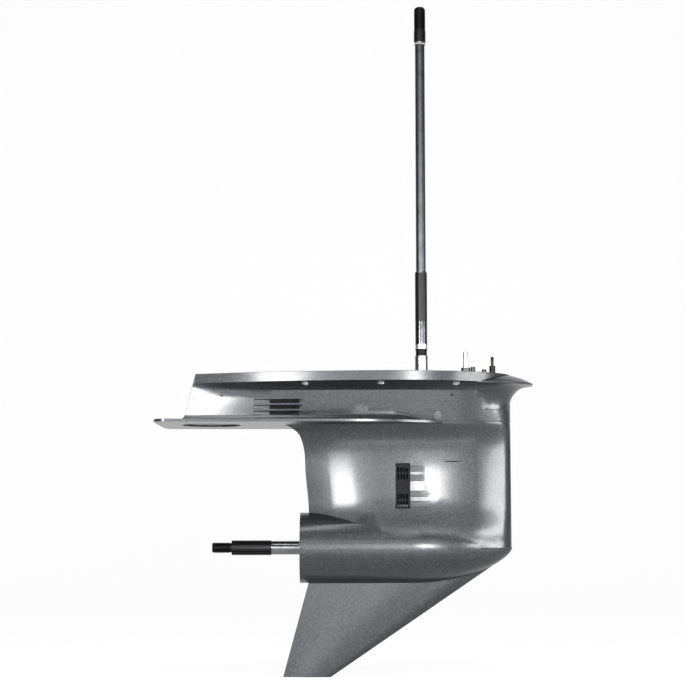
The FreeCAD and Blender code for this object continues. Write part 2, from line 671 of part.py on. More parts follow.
def small_hole_tools():
    """Recesses for the shift shaft's seal housing, the nipple, the dowels and the plugs."""
    tools = [
        cylinder("shift_recess", D.shift_recess_radius, D.shift_recess_depth + 1,
                 (D.shift_recess_station, 0, -D.shift_recess_depth)),
        cylinder("shift_seal_bore", D.shift_collar_radius + 2.5, D.shift_recess_depth + 8,
                 (D.shift_station, 0, -D.shift_recess_depth - 8.5)),
        cylinder("shift_screw_hole", 2.5, 14,
                 (D.shift_station + D.shift_screw_offset, 0, -D.shift_recess_depth - 10)),
        cylinder("nipple_recess_hole", D.nipple_recess, 5, (D.nipple_station, 0, -4)),
        cylinder("nipple_hole", D.nipple_radius + 1, 16, (D.nipple_station, 0, -15)),
        cylinder("front_dowel_hole", D.dowel_seat_radius, D.dowel_length - D.dowel_height + 1,
                 (D.front_dowel_station, 0, -D.dowel_length + D.dowel_height)),
        cylinder("trim_tab_seat", D.tab_seat_radius, D.tab_seat_depth + 1,
                 (-D.tab_seat_station, 0, -D.plate_top - D.plate_thickness - 1)),
        cylinder("trim_tab_hole", D.tab_bolt_radius, 20, (-D.tab_seat_station, 0, -D.plate_top - 8)),
    ]
    for index, place_at in enumerate(pump_bolt_places()):
        tools.append(shaped("pump_bolt_hole_%d" % index, Part.makeCylinder(
            V.pump_bolt_radius, 10, place_at + Vector(0, 0, -V.well_depth - 9))))
    for name, seat, turn in (("level", level_seat, starboard), ("drain", drain_seat, port)):
        spot = Part.makeCylinder(V.plug_head_radius + 1.2, 20)
        hole = Part.makeCylinder(V.plug_shank_radius, V.plug_shank + 3, Vector(0, 0, -V.plug_shank - 1))
        tool = spot.fuse(hole)
        tool.Placement = Placement(seat, turn)
        tools.append(shaped(name + "_plug_seat", tool))
    return tools


pump_well = cylinder("pump_well", D.pump_well_radius, D.well_depth + 1, (0, 0, -D.well_depth))
well = shaped("exhaust_well", well_form())
exhaust = shaped("exhaust_passage", exhaust_form())
casing_tools = [pump_well, well, exhaust, main_bore_tool(), drive_bore_tool(), shift_bore_tool()]
casing_tools += casing_bolt_tools() + slot_tools() + intake_tools() + small_hole_tools()
keep("gearcase_housing", cut("gearcase_housing", casing_form, casing_tools))


# Drive shaft
def splined(radius, root, start, stop, count, axis):
    """Straight teeth round a shaft, from start to stop along its axis."""
    length = stop - start
    tooth = Part.makeBox(length, radius * pi / count, radius - root + 0.6)
    tooth.translate(Vector(start, -radius * pi / count / 2, root - 0.6))
    if axis == "Z":
        tooth.rotate(Vector(0, 0, 0), Y_AXIS, -90)
        return rotated_copies(tooth, count, Z_AXIS)
    return rotated_copies(tooth, count, X_AXIS)


def drive_shaft():
    """The long shaft from the crankshaft's spline down to the pinion and its nut."""
    spline_root = D.crank_spline_radius - D.spline_tooth
    spline_end = D.drive_top - D.crank_spline_length
    collar_end = spline_end - D.crank_collar_length
    low = -D.shaft_drop
    heel = low + D.gear_module * D.gear_teeth / 2
    seat_top = heel + D.pinion_hub_height
    nut_top = pinion_nut_top()
    core = turned("drive_shaft_core", "Z", [
        (nut_top - D.pinion_nut_height + 0.5, D.pinion_thread_radius),
        (nut_top, D.pinion_thread_radius), (nut_top, D.pinion_seat_radius),
        (seat_top, D.pinion_seat_radius), (seat_top, D.lower_drive_radius),
        (-D.journal_bottom, D.lower_drive_radius), (-D.journal_bottom, D.bearing_journal_radius),
        (-D.journal_top, D.bearing_journal_radius), (-D.journal_top, D.pump_journal_radius),
        (D.groove_bottom, D.pump_journal_radius), (D.groove_bottom, D.groove_radius),
        (D.groove_top, D.groove_radius), (D.groove_top, D.drive_radius),
        (D.slender_end, D.drive_radius), (D.slender_end + 3, D.slender_radius),
        (collar_end - 3, D.slender_radius), (collar_end, D.crank_collar_radius),
        (spline_end - 2, D.crank_collar_radius), (spline_end, spline_root),
        (D.drive_top - 1.5, spline_root), (D.drive_top, spline_root - 1.2)])
    teeth = splined(V.crank_spline_radius, V.crank_spline_radius - V.spline_tooth,
                    float(spline_end), V.drive_top - 3, V.spline_count, "Z")
    return fuse("drive_shaft", [core, shaped("crank_spline", Part.makeCompound(teeth))])


# Bevel gears
PINION_ANGLE = atan(V.pinion_teeth / V.gear_teeth)
CONE = V.gear_module * sqrt(V.pinion_teeth ** 2 + V.gear_teeth ** 2) / 2
ADDENDUM = V.gear_module
DEDENDUM = V.gear_module * 1.2
TOE_SHARE = (CONE - V.gear_face) / CONE


def pinion_nut_top():
    """The pinion's small end, where its nut bears."""
    face_height = V.gear_module * V.gear_teeth / 2 * TOE_SHARE
    share = D.gear_face / CONE
    return -D.shaft_drop + D.gear_module * D.gear_teeth / 2 * (1 - share) - (
        D.gear_module * 0.5 * cos(atan2(1, 2)))


def involute(angle):
    return tan(angle) - angle


def tooth_outline(teeth, cone_angle):
    """Corner directions of all the teeth, seen from the apex of the pitch cones."""
    pressure = radians(V.pressure_angle)
    pitch = V.gear_module * teeth / 2 / cos(cone_angle)
    base = pitch * cos(pressure)
    half = pi * V.gear_module / 4 / pitch - V.backlash / 4 / pitch
    radii = (pitch - DEDENDUM, pitch, pitch + ADDENDUM * 0.5, pitch + ADDENDUM)
    corners = []
    for radius in radii:
        angle = half + involute(pressure)
        if radius > base:
            angle -= involute(acos(base / radius))
        polar = cone_angle + (radius - pitch) / CONE
        corners.append((polar, angle / cos(cone_angle)))
    directions = []
    for index in range(int(teeth)):
        middle = 2 * pi * index / teeth
        directions += [(polar, middle - turn) for polar, turn in corners]
        directions += [(polar, middle + turn) for polar, turn in reversed(corners)]
    return directions


def bevel_teeth(teeth, cone_angle, first=0.0):
    """The toothed cone along +X with its apex at the origin, before its ends are turned."""
    flat_far = CONE * cos(cone_angle) * 1.25
    flat_near = CONE * TOE_SHARE * cos(cone_angle) * 0.6
    rings = []
    for flat in (flat_near, flat_far):
        ring_points = []
        for polar, turn in tooth_outline(teeth, cone_angle):
            reach = flat * tan(polar)
            ring_points.append(Vector(flat, reach * sin(turn + first), reach * cos(turn + first)))
        rings.append(ring_points)
    near, far = rings
    count = len(near)
    faces = [Part.Face(Part.makePolygon(points + points[:1])) for points in rings]
    for index in range(count):
        after = (index + 1) % count
        corners = [near[index], near[after], far[after], far[index], near[index]]
        faces.append(Part.Face(Part.makePolygon(corners)))
    return Part.makeSolid(Part.makeShell(faces))


def revolved(points):
    """A blank turned about X from (along, radius) corners."""
    corners = [Vector(along, 0, radius) for along, radius in points]
    face = Part.Face(Part.makePolygon(corners + corners[:1]))
    return face.revolve(Vector(0, 0, 0), X_AXIS, 360)


def cone_point(distance, cone_angle, rise):
    """A point beyond or inside the pitch cone, square to it, at a distance from the apex."""
    return (distance * cos(cone_angle) - rise * sin(cone_angle),
            distance * sin(cone_angle) + rise * cos(cone_angle))


def bevel_blank(cone_angle, bore, hub):
    """The turned blank: heel cone, toe cone, bore and the hub behind the heel."""
    heel_tip = cone_point(CONE, cone_angle, ADDENDUM + 0.6)
    heel_root = cone_point(CONE, cone_angle, -DEDENDUM - 3.5)
    toe_tip = cone_point(CONE * TOE_SHARE, cone_angle, ADDENDUM + 0.6)
    toe_root = cone_point(CONE * TOE_SHARE, cone_angle, -DEDENDUM - 1.0)
    hub_radius, hub_end = hub
    return [toe_tip, heel_tip, heel_root, (heel_root[0], hub_radius), (hub_end, hub_radius),
            (hub_end, bore), (toe_root[0], bore), toe_root]


def body_blank(cone_angle, bore, hub):
    """The solid part of the gear inside its tooth roots."""
    heel_root = cone_point(CONE, cone_angle, -DEDENDUM - 0.05)
    heel_low = cone_point(CONE, cone_angle, -DEDENDUM - 3.5)
    toe_root = cone_point(CONE * TOE_SHARE, cone_angle, -DEDENDUM * 0.8)
    hub_radius, hub_end = hub
    return [toe_root, heel_root, heel_low, (heel_low[0], hub_radius), (hub_end, hub_radius),
            (hub_end, bore), (toe_root[0], bore)]


def bevel_gear(teeth, cone_angle, bore, hub, first=0.0):
    envelope = revolved(bevel_blank(cone_angle, bore, hub))
    toothed = bevel_teeth(teeth, cone_angle, first).common(envelope)
    return toothed.fuse(revolved(body_blank(cone_angle, bore, hub))).removeSplitter()


def lug_ring(face_at, height, first):
    """The driving lugs of the clutch, on a face square to X."""
    inner, outer_radius = V.lug_inner_radius, V.dog_radius - 0.5
    half = radians(V.lug_angle) / 2
    start = min(face_at, face_at + height)
    points = []
    for radius, turn in ((inner, -half), (outer_radius, -half), (outer_radius, 0),
                         (outer_radius, half), (inner, half)):
        points.append(Vector(start, radius * sin(turn), radius * cos(turn)))
    lug = Part.Face(Part.makePolygon(points + points[:1])).extrude(Vector(abs(height), 0, 0))
    return rotated_copies(lug, V.lug_count, X_AXIS, first=first)


def running_gear(hub, side):
    """One of the two gears round the propeller shaft, with its clutch lugs: side is 1 or -1."""
    lug_face = V.dog_half_length + V.lug_height + V.dog_gap + V.lug_height
    gear = bevel_gear(V.gear_teeth, pi / 2 - PINION_ANGLE, V.gear_bore, hub,
                      first=pi / V.gear_teeth)
    pad = Part.makeCylinder(27, 4.5, Vector(lug_face, 0, 0), X_AXIS).cut(
        Part.makeCylinder(V.gear_bore, 6, Vector(lug_face - 1, 0, 0), X_AXIS))
    spacing = 180.0 / V.lug_count
    gear = gear.fuse([pad] + lug_ring(lug_face + 0.2, -V.lug_height - 0.2, spacing))
    gear = gear.removeSplitter()
    if side < 0:
        gear = gear.mirror(Vector(0, 0, 0), X_AXIS)
    gear.translate(APEX)
    return gear


def pinion():
    gear = bevel_gear(V.pinion_teeth, PINION_ANGLE, V.pinion_seat_radius,
                      (V.pinion_hub_radius, V.gear_module * V.gear_teeth / 2 + V.pinion_hub_height))
    gear.rotate(Vector(0, 0, 0), Y_AXIS, -90)
    gear.translate(APEX)
    return gear


def hexagon(name, across_radius, start, stop, bore, axis, base):
    """A hexagonal nut or head with a round bore, along Z or X."""
    length = stop - start
    prism = doc.addObject("Part::Prism", name + "_prism")
    prism.Polygon = 6
    prism.setExpression("Circumradius", as_size(across_radius).text)
    prism.setExpression("Height", as_size(length).text)
    along = {"Z": (0, 0, start), "X": (start, 0, 0), "Y": (0, start, 0)}[axis]
    place(prism, [as_size(a) + b for a, b in zip(along, base)], TURN[axis])
    if bore is None:
        return prism
    back = {"Z": (0, 0, -1), "X": (-1, 0, 0), "Y": (0, -1, 0)}[axis]
    hole_base = [as_size(a) + b + c for a, b, c in zip(along, base, back)]
    hole = cylinder(name + "_bore", bore, length + 2, hole_base, axis)
    return cut(name, prism, [hole])


keep("drive_shaft", drive_shaft())
keep("pinion_gear", shaped("pinion_gear", pinion()))
nut_top = pinion_nut_top()
keep("pinion_nut", hexagon("pinion_nut", D.pinion_nut_radius, nut_top - D.pinion_nut_height,
                           nut_top, D.pinion_thread_radius, "Z", (0, 0, 0)))
keep("forward_gear", shaped("forward_gear", running_gear((V.hub_radius, V.cup_front - 1), 1)))
keep("reverse_gear", shaped("reverse_gear",
                            running_gear((V.reverse_hub_radius, V.reverse_hub_rear), -1)))


# Propeller shaft and clutch
def propeller_shaft():
    """The stepped shaft with its spline, thread, hollow nose and slot for the cross pin."""
    root = D.prop_spline_radius - D.spline_tooth
    journal = D.prop_journal_radius
    front = D.front_journal_radius
    collar_back = -D.collar_front
    core = turned("propeller_shaft_core", "X", [
        (-D.thread_start, D.thread_radius - 1.2), (-D.thread_start + 1.2, D.thread_radius),
        (-D.thread_end, D.thread_radius), (-D.thread_end, D.thread_neck_radius),
        (-D.prop_spline_start, D.thread_neck_radius), (-D.prop_spline_start, root),
        (-D.prop_spline_end, root), (-D.prop_spline_end + 2, D.prop_plain_radius),
        (-D.prop_step, D.prop_plain_radius), (-D.prop_step + 2, journal),
        (collar_back - D.collar_width, journal), (collar_back - D.collar_width, D.collar_radius),
        (collar_back, D.collar_radius), (collar_back, journal),
        (-D.front_journal_start, journal), (-D.front_journal_start, front - D.dog_spline_depth / 2),
        (D.front_journal_start, front - D.dog_spline_depth / 2),
        (D.front_journal_start, front), (D.prop_front, front)], base=PROP_AXIS)
    teeth = splined(V.prop_spline_radius, V.prop_spline_radius - V.spline_tooth,
                    -V.prop_spline_start, -V.prop_spline_end, V.spline_count, "X")
    keys = []
    floor = V.front_journal_radius - V.dog_spline_depth / 2
    key = Part.makeBox(2 * V.front_journal_start, V.dog_spline_width,
                       V.dog_spline_depth + 0.6)
    key.translate(Vector(-V.front_journal_start, -V.dog_spline_width / 2, floor - 0.6))
    keys = rotated_copies(key, V.dog_spline_count, X_AXIS, first=180.0 / V.dog_spline_count)
    ribs = Part.makeCompound(teeth + keys)
    ribs.translate(APEX)
    solid = fuse("propeller_shaft_splined", [core, shaped("propeller_shaft_splines", ribs)])
    clear = D.running_clearance
    slot_reach = D.cross_pin_radius + D.shift_travel + 0.6
    bore = cylinder("slider_bore", D.slider_radius + clear,
                    D.prop_front + slot_reach + D.slider_tail + 3,
                    (-slot_reach - D.slider_tail - 1, 0, -D.shaft_drop), "X")
    slot = centred_box("cross_pin_slot", (slot_reach * 2, 40, (D.cross_pin_radius + clear) * 2),
                       (0, 0, -D.shaft_drop))
    return cut("propeller_shaft", solid, [bore, slot])


def clutch_dog():
    """The sliding dog: lugs on both faces, a splined bore and a hole for the cross pin."""
    half = V.dog_half_length
    hub = Part.makeCylinder(V.dog_radius, 2 * half, Vector(-half, 0, 0), X_AXIS)
    groove = Part.makeCylinder(V.dog_radius + 1, 5.0, Vector(-2.5, 0, 0), X_AXIS).cut(
        Part.makeCylinder(V.dog_radius - 1.4, 5.0, Vector(-2.5, 0, 0), X_AXIS))
    lugs = lug_ring(half - 0.2, V.lug_height + 0.2, 0) + lug_ring(-half + 0.2,
                                                                  -V.lug_height - 0.2, 0)
    clear = V.running_clearance
    floor = V.front_journal_radius - V.dog_spline_depth / 2
    bore = Part.makeCylinder(floor + clear, 60, Vector(-30, 0, 0), X_AXIS)
    key = Part.makeBox(60, V.dog_spline_width + 2 * clear, V.dog_spline_depth + clear + 1)
    key.translate(Vector(-30, -V.dog_spline_width / 2 - clear, floor - 1))
    ways = rotated_copies(key, V.dog_spline_count, X_AXIS, first=180.0 / V.dog_spline_count)
    pin_hole = Part.makeCylinder(V.cross_pin_radius, 60, Vector(0, -30, 0), Y_AXIS)
    dog = hub.cut(groove).fuse(lugs).cut([bore, pin_hole] + ways)
    dog.translate(APEX)
    return dog


def shift_slider():
    """The rod inside the propeller shaft, with the grooved spool that the crank moves."""
    half_groove = D.crank_pin_radius + D.crank_side_clearance
    station = D.shift_station
    rod = turned("shift_slider_rod", "X", [
        (-D.cross_pin_radius - D.slider_tail, D.slider_radius),
        (D.prop_front + 6, D.slider_radius), (D.prop_front + 6, D.spool_core_radius),
        (station - half_groove - D.spool_flange_width, D.spool_core_radius),
        (station - half_groove - D.spool_flange_width, D.spool_flange_radius),
        (station - half_groove, D.spool_flange_radius),
        (station - half_groove, D.spool_core_radius),
        (station + half_groove, D.spool_core_radius),
        (station + half_groove, D.spool_flange_radius),
        (station + half_groove + D.spool_flange_width, D.spool_flange_radius)], base=PROP_AXIS)
    hole = cylinder("slider_pin_hole", D.cross_pin_radius, 40, (0, -20, -D.shaft_drop), "Y")
    return cut("shift_slider", rod, [hole])


def shift_shaft():
    """The upright shaft with a crank disc and an eccentric pin at its foot."""
    disc_low = -D.shaft_drop + D.spool_flange_radius + 2
    rod = turned("shift_shaft_rod", "Z", [
        (disc_low, D.crank_disc_radius), (disc_low + D.crank_disc_height, D.crank_disc_radius),
        (disc_low + D.crank_disc_height, D.shift_radius), (D.shift_neck, D.shift_radius),
        (D.shift_neck, D.shift_rod_radius), (D.shift_top - 1, D.shift_rod_radius),
        (D.shift_top, D.shift_rod_radius - 1)], base=(D.shift_station, 0, 0))
    pin = cylinder("crank_pin", D.crank_pin_radius, D.spool_flange_radius + 6,
                   (D.shift_station, D.crank_offset, -D.shaft_drop - 3))
    return fuse("shift_shaft", [rod, pin])


keep("propeller_shaft", propeller_shaft())
keep("clutch_dog", shaped("clutch_dog", clutch_dog()))
keep("clutch_cross_pin", cylinder("clutch_cross_pin", D.cross_pin_radius,
                                  (D.dog_radius - 1.7) * 2,
                                  (0, -(D.dog_radius - 1.7), -D.shaft_drop), "Y"))
keep("clutch_spring_ring", ring("clutch_spring_ring", "X", -2.2, 2.2, D.dog_radius - 1.35,
                                D.dog_radius - 0.2, PROP_AXIS))
keep("shift_slider", shift_slider())
keep("shift_shaft", shift_shaft())


# Bearings
def tapered_bearing(name, axis, start, stop, inner, cone_out, cup_in, outer_radius, base):
    """Two races and a ring of rollers between them, turned about an axis."""
    gap = D.seat_clearance
    cone_ring = ring(name + "_cone", axis, start, stop, inner, cone_out, base)
    cup_ring = ring(name + "_cup", axis, start, stop, cup_in, outer_radius, base)
    radius = (float(cup_in) - float(cone_out)) / 2 - float(gap)
    middle = (float(cup_in) + float(cone_out)) / 2
    low, high = sorted((float(start), float(stop)))
    count = int(middle * pi / radius * 0.82)
    direction = X_AXIS if axis == "X" else Z_AXIS
    across = Z_AXIS if axis == "X" else X_AXIS
    roller = Part.makeCylinder(radius, high - low - 3, direction * (low + 1.5) + across * middle,
                               direction)
    rollers = Part.makeCompound(rotated_copies(roller, count, direction))
    rollers.translate(Vector(*[float(value) for value in base]))
    keep(name + "_cone", cone_ring)
    keep(name + "_cup", cup_ring)
    keep(name + "_rollers", shaped(name + "_rollers", rollers))


def needle_bearing(name, axis, start, stop, inner, outer_radius, base):
    return keep(name, ring(name, axis, start, stop, inner, outer_radius, base))


tapered_bearing("forward_bearing", "X", D.neck_front + 2, D.cup_front, D.hub_radius,
                D.forward_race_radius, D.cup_radius - 3, D.cup_radius, PROP_AXIS)
tapered_bearing("upper_bearing", "Z", -D.upper_bearing_bottom, -D.upper_bearing_top,
                D.bearing_journal_radius, D.bearing_journal_radius + 2.8,
                D.upper_bearing_radius - 2.6, D.upper_bearing_radius, (0, 0, 0))
needle_bearing("pinion_needle_bearing", "Z", -D.shaft_drop + D.needle_rise,
               -D.shaft_drop + D.needle_rise + D.needle_height,
               D.lower_drive_radius + D.running_clearance, D.needle_outer_radius, (0, 0, 0))
needle_bearing("forward_gear_needle_bearing", "X", D.front_journal_start + 4, D.cup_front - 6,
               D.front_journal_radius + D.running_clearance, D.gear_bore, PROP_AXIS)


def ball_bearing():
    """The reverse gear's bearing: two grooved races and their balls."""
    front = -D.carrier_front - 1
    rear = front - D.ball_bearing_width
    keep("reverse_bearing_inner_race", ring("reverse_bearing_inner_race", "X", rear, front,
                                            D.reverse_hub_radius, D.ball_race_inner, PROP_AXIS))
    keep("reverse_bearing_outer_race", ring("reverse_bearing_outer_race", "X", rear, front,
                                            D.ball_race_outer, D.ball_race_radius, PROP_AXIS))
    middle = (V.ball_race_inner + V.ball_race_outer) / 2
    radius = (V.ball_race_outer - V.ball_race_inner) / 2 - V.seat_clearance
    ball = Part.makeSphere(radius, Vector(float(front) - V.ball_bearing_width / 2, 0, middle))
    balls = Part.makeCompound(rotated_copies(ball, V.ball_count, X_AXIS))
    balls.translate(APEX)
    keep("reverse_bearing_balls", shaped("reverse_bearing_balls", balls))


ball_bearing()


# Bearing carrier and what it holds
def bearing_carrier():
    """The ribbed carrier that closes the torpedo and lets the exhaust past."""
    outside = D.main_bore_radius - D.seat_clearance
    front = -D.carrier_front
    web = -D.carrier_web
    rear = -D.carrier_rear
    web_rear = web - D.carrier_web_width
    core = turned("carrier_core", "X", [
        (rear, D.carrier_tube_radius), (web_rear, D.carrier_tube_radius), (web_rear, outside),
        (front, outside)],
        [(rear, D.carrier_tube_bore), (web_rear + 4, D.carrier_tube_bore),
         (web_rear + 4, D.collar_radius + 4), (web, D.collar_radius + 4),
         (web, D.ball_race_radius), (front, D.ball_race_radius)],
        PROP_AXIS)
    ring_front = rear + D.rear_ring_width
    rear_ring = ring("carrier_rear_ring", "X", rear, ring_front, D.rear_ring_bore, outside,
                     PROP_AXIS)
    rib = Part.makeBox(V.carrier_rear - V.carrier_web - 1, V.rib_width,
                       V.main_bore_radius - 1.2 - V.carrier_tube_radius + 2)
    rib.translate(Vector(-V.carrier_rear, -V.rib_width / 2, V.carrier_tube_radius - 2))
    ribs = Part.makeCompound(rotated_copies(rib, 4, X_AXIS, first=45))
    ribs.translate(APEX)
    solid = fuse("carrier_solid", [core, rear_ring, shaped("carrier_ribs", ribs)])
    groove = ring("carrier_groove", "X", web + 5, web + 8.6, outside - D.o_ring_radius * 2 - 0.1,
                  outside + 2, PROP_AXIS)
    return cut("bearing_carrier", solid, [groove])


def ring_nut():
    """The threaded ring that holds the carrier in, with notches for its key."""
    front = -V.carrier_rear - V.lock_washer
    bore = V.rear_ring_bore + 0.6
    blank = Part.makeCylinder(V.main_bore_radius - V.seat_clearance, V.ring_nut_width,
                              Vector(front - V.ring_nut_width, 0, 0), X_AXIS)
    hole = Part.makeCylinder(bore, V.ring_nut_width + 2,
                             Vector(front - V.ring_nut_width - 1, 0, 0), X_AXIS)
    notch = Part.makeBox(4, 8, 4, Vector(front - V.ring_nut_width - 1, -4, bore - 1))
    nut = blank.cut([hole] + rotated_copies(notch, 4, X_AXIS))
    nut.translate(APEX)
    return nut


def o_ring():
    """The carrier's seal, in the groove behind its front ring."""
    middle = Vector(-V.carrier_web + 6.8, 0, -V.shaft_drop)
    reach = V.main_bore_radius - V.o_ring_radius - V.seat_clearance
    return Part.makeTorus(reach, V.o_ring_radius, middle, X_AXIS)


keep("bearing_carrier", bearing_carrier())
keep("carrier_ring_nut", shaped("carrier_ring_nut", ring_nut()))
keep("carrier_lock_washer", ring("carrier_lock_washer", "X", -D.carrier_rear - D.lock_washer,
                                 -D.carrier_rear, D.rear_ring_bore + 1,
                                 D.main_bore_radius - D.seat_clearance, PROP_AXIS))
keep("carrier_o_ring", shaped("carrier_o_ring", o_ring()))
bearing_start = -D.carrier_web - D.carrier_web_width - D.needle_gap
needle_bearing("carrier_front_needle_bearing", "X", bearing_start - D.needle_length,
               bearing_start, D.prop_journal_radius + D.running_clearance, D.carrier_tube_bore,
               PROP_AXIS)
bearing_rear = -D.prop_step + D.needle_gap
needle_bearing("carrier_rear_needle_bearing", "X", bearing_rear, bearing_rear + D.needle_length,
               D.prop_journal_radius + D.running_clearance, D.carrier_tube_bore, PROP_AXIS)
seal_start = -D.prop_step - 2
for label, offset in (("inner_propeller_shaft_seal", 0), ("outer_propeller_shaft_seal", 1)):
    start = seal_start - (D.seal_width + 0.5) * offset
    keep(label, ring(label, "X", start - D.seal_width, start,
                     D.prop_plain_radius + D.running_clearance, D.carrier_tube_bore, PROP_AXIS))
keep("reverse_thrust_washer", ring("reverse_thrust_washer", "X", -D.collar_front + 0.3,
                                   -D.reverse_hub_rear - 0.3,
                                   D.prop_journal_radius + D.running_clearance, D.collar_radius,
                                   PROP_AXIS))


# Water pump
def vaned_impeller(low):
    """The rubber impeller: a hub and its vanes, kept inside the narrow side of the cup."""
    tip = V.cup_bore - V.cup_offset - V.vane_gap
    hub = Part.makeCylinder(V.impeller_hub_radius, V.impeller_height, Vector(0, 0, low))
    vane = Part.makeBox(tip - V.impeller_hub_radius - V.vane_thickness / 2 + 1, V.vane_thickness,
                        V.impeller_height,
                        Vector(V.impeller_hub_radius - 1, -V.vane_thickness / 2, low))
    bead = Part.makeCylinder(V.vane_thickness * 0.7, V.impeller_height,
                             Vector(tip - V.vane_thickness * 0.7, 0, low))
    vanes = rotated_copies(vane.fuse(bead), V.vane_count, Z_AXIS, first=30)
    bore = Part.makeCylinder(V.pump_journal_radius, V.impeller_height + 2, Vector(0, 0, low - 1))
    half = V.pump_key_width / 2
    keyway = Part.makeBox(V.pump_journal_radius + half, V.pump_key_width, V.impeller_height + 2,
                          Vector(0, -half, low - 1))
    return hub.fuse(vanes).cut([bore, keyway])


def plate_like(thickness, low, inner, outer_radius):
    """A flat pump piece: a disc with a shaft hole and four bolt holes."""
    disc = Part.makeCylinder(outer_radius, thickness, Vector(0, 0, low))
    hole = Part.makeCylinder(inner, thickness + 2, Vector(0, 0, low - 1))
    bolts = [Part.makeCylinder(V.pump_bolt_radius, thickness + 2, place_at + Vector(0, 0, low - 1))
             for place_at in pump_bolt_places()]
    return disc.cut([hole] + bolts)


def pump_housing(low):
    """The moulded pump cover: base flange, body, neck, outlet boss and bolt holes."""
    top = low + V.pump_height
    body = Part.makeCylinder(V.pump_base_radius, V.pump_base_height, Vector(0, 0, low))
    for radius, height in ((V.pump_body_radius, V.pump_body_height),
                           (V.pump_top_radius, V.pump_height)):
        body = body.fuse(Part.makeCylinder(radius, height, Vector(0, 0, low)))
    outlet = Vector(-V.tube_station, 0, low)
    outlet_top = V.pump_height + V.tube_boss_top
    body = body.fuse(Part.makeCylinder(V.tube_boss_radius, outlet_top, outlet))
    cup_outer = V.cup_bore + V.cup_wall
    cavity = Part.makeCylinder(cup_outer, V.impeller_height + V.cup_wall + 1,
                               Vector(0, V.cup_offset, low - 1))
    shaft_hole = Part.makeCylinder(V.pump_journal_radius + V.seat_clearance + 3, 200,
                                   Vector(0, 0, low - 50))
    seat = Part.makeCylinder(V.tube_radius, V.tube_depth,
                             outlet + Vector(0, 0, outlet_top - V.tube_depth))
    bolts = [Part.makeCylinder(V.pump_bolt_radius, 200, place_at + Vector(0, 0, low - 50))
             for place_at in pump_bolt_places()]
    return body.cut([cavity, shaft_hole, seat] + bolts).removeSplitter()


def insert_cup(low):
    """The steel liner that the vanes sweep."""
    height = V.impeller_height + V.cup_wall
    outside = Part.makeCylinder(V.cup_bore + V.cup_wall, height, Vector(0, V.cup_offset, low))
    inside = Part.makeCylinder(V.cup_bore, height, Vector(0, V.cup_offset, low - V.cup_wall))
    hole = Part.makeCylinder(V.pump_journal_radius + 3, 100, Vector(0, 0, low - 1))
    return outside.cut([inside, hole])


def pump_bolts(low):
    """Four long screws with hexagon heads."""
    screws = []
    head_low = low + V.pump_base_height
    for place_at in pump_bolt_places():
        shank = Part.makeCylinder(V.pump_bolt_radius, V.pump_base_height + 6,
                                  place_at + Vector(0, 0, low - 6))
        corners = [place_at + Vector(V.pump_bolt_head * cos(radians(turn)),
                                     V.pump_bolt_head * sin(radians(turn)), head_low)
                   for turn in range(0, 360, 60)]
        head = Part.Face(Part.makePolygon(corners + corners[:1])).extrude(Vector(0, 0, 4))
        screws.append(shank.fuse(head))
    return Part.makeCompound(screws)


deck = -V.well_depth
plate_low = deck + V.gasket
upper_gasket_low = plate_low + V.wear_plate
pump_low = upper_gasket_low + V.gasket
shaft_gap = V.pump_journal_radius + V.seat_clearance + 3
keep("pump_base_gasket", shaped("pump_base_gasket",
                                plate_like(V.gasket, deck, V.upper_bearing_radius + 1,
                                           V.pump_base_radius)))
keep("pump_wear_plate", shaped("pump_wear_plate",
                               plate_like(V.wear_plate, plate_low, shaft_gap,
                                          V.pump_base_radius)))
keep("pump_upper_gasket", shaped("pump_upper_gasket",
                                 plate_like(V.gasket, upper_gasket_low, V.cup_bore + 4,
                                            V.pump_base_radius)))
keep("water_pump_housing", shaped("water_pump_housing", pump_housing(pump_low)))
keep("pump_insert_cup", shaped("pump_insert_cup", insert_cup(pump_low)))
keep("pump_impeller", shaped("pump_impeller", vaned_impeller(pump_low - V.gasket + 0.2)))
keep("water_pump_bolts", shaped("water_pump_bolts", pump_bolts(pump_low)))
key_half = V.pump_key_width / 2
pump_key = Part.makeBox(key_half, V.pump_key_width, V.impeller_height - 6,
                        Vector(V.pump_journal_radius, -key_half, pump_low + 2))
pump_key = pump_key.cut(Part.makeCylinder(V.pump_journal_radius, 100, Vector(0, 0, pump_low - 20)))
keep("impeller_key", shaped("impeller_key", pump_key))
keep("water_pump_seal", ring("water_pump_seal", "Z", pump_low + V.pump_height - 12,
                             pump_low + V.pump_height - 5,
                             D.pump_journal_radius + D.running_clearance,
                             D.pump_journal_radius + D.seat_clearance + 3))


# Drive shaft seals, below the pump
seal_housing_low = -D.upper_bearing_top + 0.2
keep("drive_shaft_seal_housing", turned("drive_shaft_seal_housing", "Z", [
    (seal_housing_low, D.upper_bearing_radius), (-D.well_depth, D.upper_bearing_radius)],
    [(seal_housing_low, D.shaft_bore_radius + 1), (-D.well_depth, D.shaft_bore_radius + 1)]))
seal_low = seal_housing_low + 1.0
for label, level in (("lower_drive_shaft_seal", 0), ("upper_drive_shaft_seal", 1)):
    start = seal_low + (D.seal_width + 0.5) * level
    keep(label, ring(label, "Z", start, start + D.seal_width,
                     D.pump_journal_radius + D.running_clearance, D.shaft_bore_radius + 1))


# Shift shaft's seal housing
recess_floor = -D.shift_recess_depth


